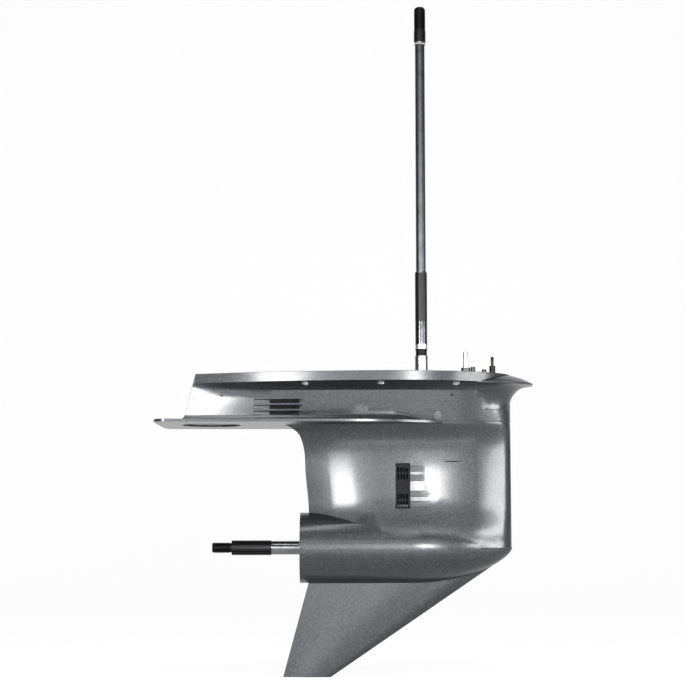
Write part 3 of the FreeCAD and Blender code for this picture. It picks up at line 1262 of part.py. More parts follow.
def shift_seal_housing():
    """The round cover that holds the shift shaft's seal, with a collar above the face."""
    flange = cylinder("shift_flange", D.shift_flange_radius, D.shift_flange_height,
                      (D.shift_recess_station, 0, recess_floor))
    collar = cylinder("shift_collar", D.shift_collar_radius,
                      D.shift_collar_top - recess_floor, (D.shift_station, 0, recess_floor))
    spigot = cylinder("shift_spigot", D.shift_collar_radius + 2.5 - D.seat_clearance, 7,
                      (D.shift_station, 0, recess_floor - 7))
    solid = fuse("shift_housing_solid", [flange, collar, spigot])
    bore = cylinder("shift_housing_bore", D.shift_radius + D.running_clearance, 60,
                    (D.shift_station, 0, recess_floor - 20))
    seal_seat = cylinder("shift_seal_seat", D.shift_radius + 2.6, D.seal_width,
                         (D.shift_station, 0, D.shift_collar_top - D.seal_width))
    screw_hole = cylinder("shift_flange_hole", 2.5, 40,
                          (D.shift_station + D.shift_screw_offset, 0, recess_floor - 8))
    return cut("shift_seal_housing", solid, [bore, seal_seat, screw_hole])


def flange_screw(name, station, low, head_top):
    """A hexagon screw down into the casing."""
    shank = cylinder(name + "_shank", 2.5, head_top - low - 1, (station, 0, low))
    head = doc.addObject("Part::Prism", name + "_head")
    head.Polygon = 6
    head.setExpression("Circumradius", "4")
    head.setExpression("Height", (head_top - (recess_floor + D.shift_flange_height)).text)
    place(head, (station, 0, recess_floor + D.shift_flange_height))
    return fuse(name, [shank, head])


keep("shift_seal_housing", shift_seal_housing())
keep("shift_shaft_seal", ring("shift_shaft_seal", "Z", D.shift_collar_top - D.seal_width,
                              D.shift_collar_top - 0.5, D.shift_radius + D.running_clearance,
                              D.shift_radius + 2.6, (D.shift_station, 0, 0)))
keep("shift_housing_screw", flange_screw("shift_housing_screw",
                                         D.shift_station + D.shift_screw_offset,
                                         recess_floor - 7, D.shift_collar_top + 1.8))


# Screens, plugs, nipple and dowel
def intake_screen():
    """A thin grating let into the leg over the water intake."""
    length = V.intake_front and V.intake_rear - V.intake_front
    height = V.intake_bottom - V.intake_top
    clear = 0.3
    outer_y = V.strut_width / 2
    plate = Part.makeBox(length - 2 * clear, V.intake_depth - 1.0, height - 2 * clear,
                         Vector(-V.intake_rear + clear, -outer_y + 1.0,
                                -V.intake_bottom + clear))
    openings = []
    rows = (0.09, 0.24, 0.68, 0.84)
    for share in rows:
        for column in range(4):
            x = -V.intake_rear + 2.6 + column * (length - 5.2) / 4
            z = -V.intake_top - height * share - 8.5
            openings.append(Part.makeBox((length - 5.2) / 4 - 2.0, 20, 9.0,
                                         Vector(x + 1.0, -outer_y - 5, z)))
    return plate.cut(openings)


def slotted_plug(axis_turn, base):
    """A screw plug with a round slotted head."""
    head = Part.makeCylinder(V.plug_head_radius, V.plug_head, Vector(0, 0, V.plug_washer))
    shank = Part.makeCylinder(V.plug_shank_radius, V.plug_shank, Vector(0, 0, -V.plug_shank
                                                                        + V.plug_washer))
    slot = Part.makeBox(V.plug_head_radius * 3, 1.4, 3,
                        Vector(-V.plug_head_radius * 1.5, -0.7, V.plug_washer + V.plug_head - 1.4))
    plug = head.fuse(shank).cut(slot)
    plug.Placement = Placement(base, axis_turn)
    return plug


def washer_ring(axis_turn, base):
    washer = Part.makeCylinder(V.plug_head_radius + 0.4, V.plug_washer).cut(
        Part.makeCylinder(V.plug_shank_radius, V.plug_washer))
    washer.Placement = Placement(base, axis_turn)
    return washer


def nipple():
    """The pitot nipple: a hexagon base and a thin tube with a bore."""
    low = -12.0
    base = (D.nipple_station, 0, 0)
    tube = turned("nipple_tube", "Z", [
        (low, D.nipple_radius + 1), (D.nipple_hex_top - 4, D.nipple_radius + 1),
        (D.nipple_hex_top - 4, D.nipple_radius), (D.nipple_top - 4, D.nipple_radius),
        (D.nipple_top - 3, D.nipple_radius + 0.4), (D.nipple_top, D.nipple_radius - 0.4)],
        [(low, D.nipple_bore), (D.nipple_top, D.nipple_bore)], base)
    collar = hexagon("nipple_collar", D.nipple_hex, -4, D.nipple_hex_top, D.nipple_radius, "Z",
                     base)
    return fuse("speedometer_nipple", [tube, collar])


screen = intake_screen()
keep("starboard_intake_screen", shaped("starboard_intake_screen", screen))
keep("port_intake_screen", shaped("port_intake_screen", screen.mirror(Vector(0, 0, 0), Y_AXIS)))
keep("speedometer_nipple", nipple())
keep("front_dowel", turned("front_dowel", "Z", [
    (D.dowel_height - D.dowel_length, D.dowel_seat_radius), (0, D.dowel_seat_radius),
    (0, D.dowel_radius), (D.dowel_height - 0.8, D.dowel_radius),
    (D.dowel_height, D.dowel_radius - 0.6)], base=(D.front_dowel_station, 0, 0)))

for name, seat, turn in (("level", level_seat, starboard), ("drain", drain_seat, port)):
    keep(name + "_plug", shaped(name + "_plug", slotted_plug(turn, seat)))
    keep(name + "_plug_gasket", shaped(name + "_plug_gasket", washer_ring(turn, seat)))

doc.recompute()


def check_and_write():
    """Stop on any failed object, then write each sub-part to its own file."""
    failed = [obj.Name for obj in doc.Objects if "Invalid" in obj.State or "Error" in obj.State]
    if failed:
        raise SystemExit("failed objects: " + ", ".join(failed))
    os.makedirs("parts", exist_ok=True)
    for label, obj in parts.items():
        if obj.Shape.isNull() or not obj.Shape.isValid():
            raise SystemExit("bad shape: " + label)
        obj.Shape.exportStep("parts/" + label + ".step")


check_and_write()
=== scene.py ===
"""Finishes, screw thread and studio for an outboard motor's lower unit.

Run as a script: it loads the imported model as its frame, dresses every part of it and
lights it on a pale floor.  Lengths are metres; X runs forward, Z up, and the camera
looks along +Y at the starboard side.
"""

import json
from math import radians

import bpy
import numpy as np
from bpy.props import FloatProperty, FloatVectorProperty, PointerProperty
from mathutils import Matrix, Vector
from mathutils.bvhtree import BVHTree

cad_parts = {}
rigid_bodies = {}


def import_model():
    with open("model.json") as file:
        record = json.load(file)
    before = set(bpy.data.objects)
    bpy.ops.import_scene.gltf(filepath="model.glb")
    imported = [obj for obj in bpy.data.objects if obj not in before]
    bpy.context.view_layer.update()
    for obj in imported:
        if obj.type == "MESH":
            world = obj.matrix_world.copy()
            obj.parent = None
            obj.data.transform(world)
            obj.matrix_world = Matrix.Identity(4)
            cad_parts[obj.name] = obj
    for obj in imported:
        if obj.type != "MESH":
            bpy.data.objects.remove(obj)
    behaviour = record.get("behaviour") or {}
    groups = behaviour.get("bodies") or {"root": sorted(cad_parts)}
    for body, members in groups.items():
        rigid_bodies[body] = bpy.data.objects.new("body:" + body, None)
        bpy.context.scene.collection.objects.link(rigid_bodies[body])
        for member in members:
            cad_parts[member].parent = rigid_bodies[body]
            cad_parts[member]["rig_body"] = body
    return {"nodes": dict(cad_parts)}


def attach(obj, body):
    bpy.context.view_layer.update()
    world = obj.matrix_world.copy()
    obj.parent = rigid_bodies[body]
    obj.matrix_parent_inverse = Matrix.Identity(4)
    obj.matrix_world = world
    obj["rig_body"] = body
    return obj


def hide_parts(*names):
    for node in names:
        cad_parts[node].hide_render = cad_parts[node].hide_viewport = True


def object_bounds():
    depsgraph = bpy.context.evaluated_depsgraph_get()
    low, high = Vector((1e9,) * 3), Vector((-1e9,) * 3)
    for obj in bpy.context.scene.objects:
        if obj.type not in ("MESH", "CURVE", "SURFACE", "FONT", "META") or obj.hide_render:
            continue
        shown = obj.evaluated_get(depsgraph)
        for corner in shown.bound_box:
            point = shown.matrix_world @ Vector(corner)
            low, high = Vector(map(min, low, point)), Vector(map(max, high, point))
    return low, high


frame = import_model()
CAD_BOX = [list(corner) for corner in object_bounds()]
MM = 0.001

bl_info = {
    "name": "Outboard lower unit",
    "version": (1, 0, 0),
    "blender": (4, 5, 0),
    "location": "3D View > Sidebar > Lower unit",
    "description": "Dresses the packed lower unit in its paint, ground steel, rubber and "
                   "moulded finishes, and stands it in a plain studio",
    "category": "Object",
}

# Heights and stations that the finishes change at, in metres, as the frame has them.
SHAFT_AXIS_HEIGHT = -0.291
THREAD_REAR, THREAD_FRONT = -0.3543, -0.3235
# Side slots: their ends, the heights of their middles and half their height.
SLOT_REAR, SLOT_FRONT = -0.2826, -0.2034
SLOT_HEIGHTS = (-0.0472, -0.05695, -0.0667)
SLOT_HALF = 0.0032
RAMP_END = -0.2570
# The upper wall's half width in mm: at the rim, its loss down to the plate, and at the tail.
RIM_HALF, NARROWING, TAIL_HALF = 84, 22, 34
# Its widest station, the tail's station at the rim and its shift at the plate, and the
# plate's depth, in mm.
WIDEST_STATION, TAIL_STATION, TAIL_RAKE, PLATE_DEPTH = -40, -383, 19.5, 80
# Camera fitted to the photo: its place, and its tilt upwards in degrees.
CAMERA_PLACE, CAMERA_TILT = (-0.1356, -2.8, -0.2509), 6.3
# Rays that look for the casting's side start this far out from the middle plane.
OUTSIDE = 0.3


def linear(code):
    """An sRGB hex colour as linear red, green and blue."""
    code = code.lstrip("#")
    channels = [int(code[place:place + 2], 16) / 255 for place in (0, 2, 4)]
    return tuple(c / 12.92 if c <= 0.04045 else ((c + 0.055) / 1.055) ** 2.4 for c in channels)


def rgba(colour):
    """A linear colour with full alpha, from a hex code or a colour property."""
    return (*(linear(colour) if isinstance(colour, str) else colour), 1.0)


# Node trees ----------------------------------------------------------------------------

def add_node(tree, kind, inputs=None, **settings):
    """Adds one node: its settings are attributes, its inputs are values or output sockets."""
    made = tree.nodes.new(kind)
    for name, value in settings.items():
        setattr(made, name, value)
    for name, value in (inputs or {}).items():
        socket = made.inputs[name]
        if isinstance(value, bpy.types.NodeSocket):
            tree.links.new(value, socket)
        else:
            socket.default_value = value
    return made


def blank_material(name):
    """A material with one Principled shader wired to its output."""
    material = bpy.data.materials.new(name)
    material.use_nodes = True
    tree = material.node_tree
    tree.nodes.clear()
    shader = add_node(tree, "ShaderNodeBsdfPrincipled")
    add_node(tree, "ShaderNodeOutputMaterial", {"Surface": shader.outputs["BSDF"]})
    return material, tree, shader


def ramp_of(tree, factor, stops, interpolation="LINEAR"):
    """A colour ramp with these (place, linear colour) stops; returns its colour output."""
    ramp = add_node(tree, "ShaderNodeValToRGB", {"Fac": factor})
    bar = ramp.color_ramp
    bar.interpolation = interpolation
    while len(bar.elements) > 1:
        bar.elements.remove(bar.elements[-1])
    bar.elements[0].position = stops[0][0]
    bar.elements[0].color = rgba(stops[0][1])
    for place, colour in stops[1:]:
        bar.elements.new(place).color = rgba(colour)
    return ramp.outputs["Color"]


def grey(value):
    """A neutral colour."""
    return (value, value, value)


# Surface patterns ----------------------------------------------------------------------

def object_place(tree):
    """The place on the piece, in metres."""
    return add_node(tree, "ShaderNodeTexCoord").outputs["Object"]


def noise(tree, place, size, detail=2.0, roughness=0.5):
    """Cloudy noise whose patches are about this many metres across."""
    return add_node(tree, "ShaderNodeTexNoise", {
        "Vector": place, "Scale": 0.5 / size, "Detail": detail, "Roughness": roughness})


def grains(tree, place, size):
    """Separate random cells, about this many metres across: flakes, grit or fibres."""
    return add_node(tree, "ShaderNodeTexVoronoi", {"Vector": place, "Scale": 1.0 / size})


def bumped(tree, height, depth, before=None):
    """Turns a height of 0 to 1 into relief this many metres deep, over an earlier one."""
    inputs = {"Height": height, "Distance": depth, "Strength": 1.0}
    if before is not None:
        inputs["Normal"] = before
    return add_node(tree, "ShaderNodeBump", inputs).outputs["Normal"]


def spread(tree, value, low, high, from_low=0.0, from_high=1.0):
    """Maps a value of 0 to 1 onto a range."""
    return add_node(tree, "ShaderNodeMapRange", {
        "Value": value, "From Min": from_low, "From Max": from_high,
        "To Min": low, "To Max": high}).outputs["Result"]


def axis_lines(tree, place, axis, spacing):
    """Fine rings round an axis, as a lathe or a grinding wheel leaves: noise along it alone."""
    keep = [1.0 if letter == axis else 0.0 for letter in "XYZ"]
    along = add_node(tree, "ShaderNodeMapping", {"Vector": place, "Scale": keep})
    return noise(tree, along.outputs["Vector"], spacing, detail=3.0, roughness=0.7)


# Materials -----------------------------------------------------------------------------

def enamelled_casting(sizes):
    """Die-cast aluminium under dark grey metallic marine enamel, oven baked.

    The clear top coat gives soft broad highlights with a sharp core; beneath it lie
    aluminium flakes, and the coat has a faint orange peel.
    """
    material, tree, shader = blank_material("metallic_marine_enamel")
    place = object_place(tree)
    # Real flakes are 0.03 mm; drawn 1.6 mm across, the least that shows from 2.8 m.
    flake = grains(tree, place, 1.6 * MM)
    tone = add_node(tree, "ShaderNodeSeparateColor", {"Color": flake.outputs["Color"]})
    patch = noise(tree, place, 60 * MM, detail=3.0)
    base = sizes.enamel_colour
    dark = tuple(channel * 0.55 for channel in base)
    light = tuple(min(1.0, channel * 1.7) for channel in base)
    speckle = ramp_of(tree, tone.outputs["Red"], [(0.0, dark), (0.6, tuple(base)), (1.0, light)])
    worn = add_node(tree, "ShaderNodeMix", {
        "Factor": spread(tree, patch.outputs["Fac"], 0.0, 0.22, 0.35, 0.7),
        "A": speckle, "B": rgba(light)}, data_type="RGBA")
    colour = worn.outputs[2]
    tree.links.new(colour, shader.inputs["Base Color"])
    shader.inputs["Metallic"].default_value = 0.55
    tree.links.new(spread(tree, tone.outputs["Green"], 0.34, 0.5), shader.inputs["Roughness"])
    shader.inputs["Specular IOR Level"].default_value = 0.35
    shader.inputs["Coat Weight"].default_value = 0.5
    shader.inputs["Coat Roughness"].default_value = 0.2
    # Orange peel: waves 3 mm apart and some hundredths of a millimetre deep.
    peel = noise(tree, place, 3.0 * MM, detail=1.0)
    edge = add_node(tree, "ShaderNodeBevel", {"Radius": sizes.edge_radius}, samples=6)
    soft = edge.outputs["Normal"]
    normal = bumped(tree, peel.outputs["Fac"], 0.05 * MM, before=soft)
    normal = bumped(tree, tone.outputs["Blue"], 0.07 * MM, before=normal)
    tree.links.new(normal, shader.inputs["Normal"])
    tree.links.new(bumped(tree, peel.outputs["Fac"], 0.03 * MM, before=soft),
                   shader.inputs["Coat Normal"])
    return material


def metal(name, colour, shade, roughness, grain, axis=None, depth=0.01, patch=12.0):
    """Bare metal: two tones of colour in soft patches, and fine marks at the grain's size in mm.

    With an axis the marks are rings left by turning or grinding; without one they are
    the all-over texture of a casting, a forging or tumbling.
    """
    material, tree, shader = blank_material(name)
    place = object_place(tree)
    cloud = noise(tree, place, patch * MM, detail=4.0, roughness=0.6)
    tone = ramp_of(tree, cloud.outputs["Fac"], [(0.3, shade), (0.7, colour)])
    tree.links.new(tone, shader.inputs["Base Color"])
    shader.inputs["Metallic"].default_value = 1.0
    marks = (axis_lines(tree, place, axis, grain * MM) if axis
             else noise(tree, place, grain * MM, detail=3.0, roughness=0.65))
    tree.links.new(spread(tree, marks.outputs["Fac"], roughness * 0.8, roughness * 1.25, 0.3, 0.7),
                   shader.inputs["Roughness"])
    tree.links.new(bumped(tree, marks.outputs["Fac"], depth * MM), shader.inputs["Normal"])
    return material


def zoned_shaft(name, axis, low, high, zones):
    """Shaft steel that changes finish along its length.

    zones are (start, colour, roughness), going up the axis from low to high; each holds
    until the next one starts, as heat treatment, oil film and grinding leave it.
    """
    material, tree, shader = blank_material(name)
    place = object_place(tree)
    parts = add_node(tree, "ShaderNodeSeparateXYZ", {"Vector": place})
    cloud = noise(tree, place, 9 * MM, detail=4.0, roughness=0.65)
    # The borders between the finishes wander by up to 1.6 mm.
    wander = add_node(tree, "ShaderNodeMath", {0: cloud.outputs["Fac"], 1: 1.6 * MM},
                      operation="MULTIPLY")
    height = add_node(tree, "ShaderNodeMath", {0: parts.outputs[axis], 1: wander.outputs[0]},
                      operation="ADD")
    share = spread(tree, height.outputs[0], 0.0, 1.0, low, high)
    span = high - low
    colours = [((start - low) / span, colour) for start, colour, _ in zones]
    roughs = [((start - low) / span, grey(rough)) for start, _, rough in zones]
    tone = ramp_of(tree, share, colours, "CONSTANT")
    rough = ramp_of(tree, share, roughs, "CONSTANT")
    shade = add_node(tree, "ShaderNodeMix", {
        "Factor": spread(tree, cloud.outputs["Fac"], 0.0, 0.5, 0.35, 0.75),
        "A": tone, "B": rgba(grey(0.02))}, data_type="RGBA")
    tree.links.new(shade.outputs[2], shader.inputs["Base Color"])
    shader.inputs["Metallic"].default_value = 1.0
    marks = axis_lines(tree, place, axis, 0.7 * MM)
    uneven = add_node(tree, "ShaderNodeMath", {
        0: rough, 1: spread(tree, marks.outputs["Fac"], 0.8, 1.3, 0.3, 0.7)}, operation="MULTIPLY")
    tree.links.new(uneven.outputs[0], shader.inputs["Roughness"])
    tree.links.new(bumped(tree, marks.outputs["Fac"], 0.012 * MM), shader.inputs["Normal"])
    return material


def moulded(name, colour, shade, roughness, grain, depth, shine=0.5):
    """Rubber or plastic out of a mould: no metal, a faint texture and a little bloom.

    grain and depth are the texture's size and its relief in mm.
    """
    material, tree, shader = blank_material(name)
    shader.inputs["Specular IOR Level"].default_value = shine
    place = object_place(tree)
    cloud = noise(tree, place, 20.0 * MM, detail=4.0, roughness=0.6)
    tree.links.new(ramp_of(tree, cloud.outputs["Fac"], [(0.3, shade), (0.72, colour)]),
                   shader.inputs["Base Color"])
    texture = noise(tree, place, grain * MM, detail=2.0)
    tree.links.new(spread(tree, texture.outputs["Fac"], roughness * 0.85, roughness * 1.15,
                          0.3, 0.7), shader.inputs["Roughness"])
    tree.links.new(bumped(tree, texture.outputs["Fac"], depth * MM), shader.inputs["Normal"])
    return material


def fibre_gasket():
    """Compressed fibre sheet, die cut: dull, with pale fibres on a dark green-grey ground."""
    material, tree, shader = blank_material("compressed_fibre_sheet")
    place = object_place(tree)
    stretched = add_node(tree, "ShaderNodeMapping", {"Vector": place, "Scale": (1.0, 0.25, 1.0)})
    # Fibres about 0.4 mm wide and 1.6 mm long.
    fibre = noise(tree, stretched.outputs["Vector"], 0.4 * MM, detail=3.0, roughness=0.7)
    tree.links.new(ramp_of(tree, fibre.outputs["Fac"], [(0.35, linear("#3a3d3a")),
                                                        (0.6, linear("#6a6d68"))]),
                   shader.inputs["Base Color"])
    shader.inputs["Roughness"].default_value = 0.85
    tree.links.new(bumped(tree, fibre.outputs["Fac"], 0.05 * MM), shader.inputs["Normal"])
    return material


def painted_shade_material():
    """Painted shade: a near-black, dull colour for the shaded insides of holes, slots and the
    intake gallery, which shines nowhere.
    """
    material, tree, shader = blank_material("painted_shade_material")
    cloud = noise(tree, object_place(tree), 9.0 * MM, detail=4.0)
    tree.links.new(ramp_of(tree, cloud.outputs["Fac"], [(0.3, linear("#0b0b0b")),
                                                        (0.7, linear("#161616"))]),
                   shader.inputs["Base Color"])
    shader.inputs["Roughness"].default_value = 0.9
    shader.inputs["Specular IOR Level"].default_value = 0.1
    return material


# Meshes --------------------------------------------------------------------------------

def mesh_object(name, points, faces, material, smooth_angle=32.0):
    """A mesh object at the origin from arrays of points and of faces with equal corner counts."""
    mesh = bpy.data.meshes.new(name)
    points = np.asarray(points, np.float64)
    faces = np.asarray(faces, np.int64)
    corners = faces.shape[1]
    mesh.vertices.add(len(points))
    mesh.vertices.foreach_set("co", points.astype(np.float32).ravel())
    mesh.loops.add(faces.size)
    mesh.loops.foreach_set("vertex_index", faces.astype(np.int32).ravel())
    mesh.polygons.add(len(faces))
    mesh.polygons.foreach_set("loop_start", np.arange(0, faces.size, corners, dtype=np.int32))
    mesh.update(calc_edges=True)
    mesh.validate()
    mesh.shade_smooth()
    mesh.set_sharp_from_angle(angle=radians(smooth_angle))
    mesh.materials.append(material)
    made = bpy.data.objects.new(name, mesh)
    bpy.context.scene.collection.objects.link(made)
    return made


def joined(points, faces):
    """The same surface with corners within a thousandth of a mm made one, and no empty faces."""
    places, index = np.unique(np.round(points, 6), axis=0, return_inverse=True)
    faces = index.ravel()[faces]
    if faces.shape[1] == 4:
        faces = np.concatenate([faces[:, [0, 1, 2]], faces[:, [0, 2, 3]]])
    whole = ((faces[:, 0] != faces[:, 1]) & (faces[:, 1] != faces[:, 2])
             & (faces[:, 2] != faces[:, 0]))
    return places, faces[whole]


def joined_triangles(node):
    """A CAD node's corners and triangles, with its loose corners joined."""
    source = frame["nodes"][node].data
    points = np.empty(len(source.vertices) * 3, np.float32)
    source.vertices.foreach_get("co", points)
    source.calc_loop_triangles()
    corners = np.empty(len(source.loop_triangles) * 3, np.int32)
    source.loop_triangles.foreach_get("vertices", corners)
    return joined(points.reshape(-1, 3).astype(np.float64), corners.reshape(-1, 3))


def skin(name, node, material, smooth_angle=32.0, reshape=None):
    """A joined, smooth-shaded copy of a CAD node that stands for it and rides on its body."""
    points, faces = joined_triangles(node)
    if reshape is not None:
        points = reshape(points)
    made = mesh_object(name, points, faces, material, smooth_angle)
    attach(made, frame["nodes"][node]["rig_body"])
    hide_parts(node)


def finish(nodes, material):
    """Gives CAD nodes a better material in place of their plain one."""
    for node in nodes:
        slots = frame["nodes"][node].data.materials
        slots.clear()
        slots.append(material)


def grid_faces(rows, columns):
    """Quads of a grid of points in row order."""
    first = np.arange(rows - 1)[:, None] * columns + np.arange(columns - 1)[None, :]
    return np.stack([first, first + 1, first + columns + 1, first + columns],
                    axis=-1).reshape(-1, 4)


def sheet(x, y, z):
    """Points and quads of a surface of two parameters, one down the rows and one across."""
    grid = np.stack(np.broadcast_arrays(x, y, z), axis=-1)
    return grid.reshape(-1, 3), grid_faces(*grid.shape[:2])


def screw_thread(outer, root, pitch, rear, front):
    """An outside thread along X, as a surface of two parameters.

    The angle t runs on through all the turns, and s crosses one pitch of the profile.
    The station is rear + pitch * (t / 2 pi + s - 1), held between the two ends, and the
    radius is the root plus a trapezoid wave of s that dies away in the first and last
    pitch.  The edges s = 0 and s = 1 of neighbouring turns meet at the root.
    """
    around = 40
    turns = int(round((front - rear) / pitch)) + 1
    t = np.linspace(0, 2 * np.pi * turns, around * turns + 1)[:, None]
    s = np.array([0.0, 0.1, 0.42, 0.58, 0.9, 1.0])[None, :]
    height = np.array([0.0, 0.0, 1.0, 1.0, 0.0, 0.0])[None, :]
    station = np.clip(rear + pitch * (t / (2 * np.pi) + s - 1), rear, front)
    ends = np.minimum(station - rear, front - station) / pitch
    radius = root + (outer - root) * height * np.clip(ends, 0, 1)
    return joined(*sheet(station, radius * np.cos(t),
                         radius * np.sin(t) + SHAFT_AXIS_HEIGHT))


def wall_half_width(x, z):
    """Half the width of the upper wall aft of its widest station, at a place and height.

    The width runs from the widest to the tail's 34 mm with the 1.85th power of the share
    of the way aft; the widest shrinks from 84 mm at the rim to 62 mm at the plate with the
    0.8th power of the depth, and the tail lies further aft the deeper it is.
    """
    share = np.clip(-z / (PLATE_DEPTH * MM), 0, 1)
    widest = (RIM_HALF - NARROWING * share ** 0.8) * MM
    rear = (TAIL_STATION - TAIL_RAKE * share) * MM
    aft = np.clip((WIDEST_STATION * MM - x) / (WIDEST_STATION * MM - rear), 0, 1)
    return TAIL_HALF * MM + (widest - TAIL_HALF * MM) * (1 - aft ** 1.85)


def slot_end(x_low, x_high, middle, side):
    """One end of a side slot: the wall's surface dished to a rounded end with a ramp behind.

    Two parameters cross the patch along X and Z.  The depth below the wall is the ramp's,
    0.4 mm at the slot's aft end and 6.4 mm where it opens, times a step of half a
    millimetre at the edge of the slot's rounded outline.
    """
    across, shallow, fall = 0.45 * MM, 0.4, 6.0
    edge, lift = 0.5 * MM, 0.05 * MM
    x = np.linspace(x_low, x_high, max(12, int((x_high - x_low) / across)))[:, None]
    z = np.linspace(middle - SLOT_HALF, middle + SLOT_HALF, 25)[None, :]
    core = np.clip(x, SLOT_REAR + SLOT_HALF, SLOT_FRONT - SLOT_HALF)
    inside = SLOT_HALF - np.hypot(x - core, z - middle)
    ramp = np.clip((x - SLOT_REAR) / (RAMP_END - SLOT_REAR), 0, 1)
    depth = (shallow + fall * ramp) * MM * np.clip(inside / edge, 0, 1)
    y = side * (wall_half_width(x, z) - lift - depth)
    return sheet(x, y, z)


def slot_baffle(side):
    """The cast wall behind the side slots, 8.2 mm in from the wall's outside.

    Two parameters cross it along X and Z, and its half width is the wall's less 8.2 mm.
    """
    x = np.linspace(-0.300, -0.186, 30)[:, None]
    z = np.linspace(-0.0718, -0.024, 14)[None, :]
    return sheet(x, side * (wall_half_width(x, z) - 8.2 * MM), z)


def gallery_web():
    """The wall between the port and the starboard intake, on the middle plane.

    Two parameters cross it along X and Z.  Its distance from the plane is 1.5 mm times half
    a wave of the height, so it bows out at mid-height and ends on the plane.
    """
    bow, middle, wave = 1.5 * MM, 0.188, 0.0764
    x = np.linspace(-0.0465, -0.0215, 6)[:, None]
    z = np.linspace(-0.2262, -0.1500, 10)[None, :]
    return sheet(x, bow * np.cos(np.pi * (z + middle) / wave), z)


def hole_shade_disc(surface, x, z, radii, side):
    """A hole's mouth in painted shade: a dark disc laid on the casting.

    Two parameters, the share of the two radii and the turn, give X and Z; Y is where a ray
    from outside meets the casting, and 0.12 mm more.
    """
    share = np.linspace(0, 1, 5)[:, None]
    turn = np.linspace(0, 2 * np.pi, 33)[None, :]
    along = (x + radii[0] * share * np.cos(turn)).ravel()
    up = (z + radii[1] * share * np.sin(turn)).ravel()
    points = []
    for one_x, one_z in zip(along, up):
        hit = surface.ray_cast(Vector((one_x, side * OUTSIDE, one_z)), Vector((0, -side, 0)))[0]
        points.append((one_x, hit.y + side * 0.12 * MM, one_z))
    return np.array(points), grid_faces(share.size, turn.size)


# Sizes and colours a user may change ---------------------------------------------------

class CasingSettings(bpy.types.PropertyGroup):
    """Paint of the gearcase."""
    enamel_colour: FloatVectorProperty(
        name="Enamel", description="Colour of the gearcase's metallic enamel",
        subtype="COLOR", size=3, min=0, max=1, default=linear("#27282b"))
    edge_radius: FloatProperty(
        name="Edge radius", description="Radius that the paint leaves on the casting's edges",
        default=1.0 * MM, min=0, max=0.005, unit="LENGTH")


class ShaftSettings(bpy.types.PropertyGroup):
    """Thread of the propeller shaft."""
    thread_radius: FloatProperty(
        name="Thread radius", description="Outer radius of the propeller nut's thread",
        default=9.0 * MM, min=0.001, max=0.02, unit="LENGTH")
    thread_pitch: FloatProperty(
        name="Thread pitch", description="Distance between two turns of the thread",
        default=1.8 * MM, min=0.0005, max=0.005, unit="LENGTH")


class StageSettings(bpy.types.PropertyGroup):
    """Camera, lamps and background."""
    lens: FloatProperty(
        name="Lens", description="Focal length of the camera in millimetres on a 36 mm sensor",
        default=86.68, min=10, max=400, unit="CAMERA")
    key_power: FloatProperty(
        name="Key power", description="Power in watts that every lamp takes its share of",
        default=70.0, min=0, max=2000)
    background: FloatVectorProperty(
        name="Background", description="Colour of the floor and the backdrop",
        subtype="COLOR", size=3, min=0, max=1, default=linear("#ffffff"))


class LowerUnitSettings(bpy.types.PropertyGroup):
    """The sizes and colours of the whole unit, by group."""
    casing: PointerProperty(type=CasingSettings)
    shafts: PointerProperty(type=ShaftSettings)
    stage: PointerProperty(type=StageSettings)


# Operators -----------------------------------------------------------------------------

class LOWERUNIT_OT_casing(bpy.types.Operator):
    """Cover the gearcase with its enamelled skin"""
    bl_idname = "lowerunit.casing"
    bl_label = "Gearcase"

    def execute(self, context):
        settings = context.scene.lower_unit.casing
        enamel = enamelled_casting(settings)
        skin("gearcase_casting", "gearcase_housing", enamel, 28.0)
        # Near-black painted shade for the web, the slot baffles and the hole mouths, where the
        # casting's insides lie in shade.
        shade_paint = painted_shade_material()
        surface = BVHTree.FromPolygons(*(part.tolist() for part in
                                         joined_triangles("gearcase_housing")))
        # The web between the intakes takes the painted shade, so the gallery behind the screens is
        # dark.
        self.add("water_gallery_web", *gallery_web(), shade_paint)
        for side, name in ((-1, "starboard"), (1, "port")):
            patches, count, corners = [], 0, []
            for middle in SLOT_HEIGHTS:
                for ends in ((SLOT_REAR, RAMP_END), (SLOT_FRONT - 3.4 * MM, SLOT_FRONT)):
                    points, faces = slot_end(*ends, middle, side)
                    patches.append(points)
                    corners.append(faces + count)
                    count += len(points)
            self.add(name + "_slot_ends", np.concatenate(patches), np.concatenate(corners),
                     enamel)
            # The baffle takes the painted shade, so the slots' open fronts are dark.
            self.add(name + "_slot_baffle", *slot_baffle(side), shade_paint)
            # Painted shade on the short slit ahead of the screen and on the two pin holes of the
            # wall: dark discs stand for their shaded mouths. Label, X, Z and the two radii, in mm.
            hole_shades = (("slit", 49.0, -147.0, (14.6, 0.9)),
                     ("rear_pin_hole", -337.8, -37.3, (2, 2)),
                     ("front_pin_hole", 47.2, -37.7, (2.2, 2.2)))
            for label, x, z, radii in hole_shades:
                self.add(name + "_" + label, *hole_shade_disc(
                    surface, x * MM, z * MM, (radii[0] * MM, radii[1] * MM), side), shade_paint)
        return {"FINISHED"}

    @staticmethod
    def add(name, points, faces, material):
        """Adds one surface of the casting, which stays with the gearcase."""
        made = mesh_object(name, points, faces, material)
        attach(made, "gearcase")


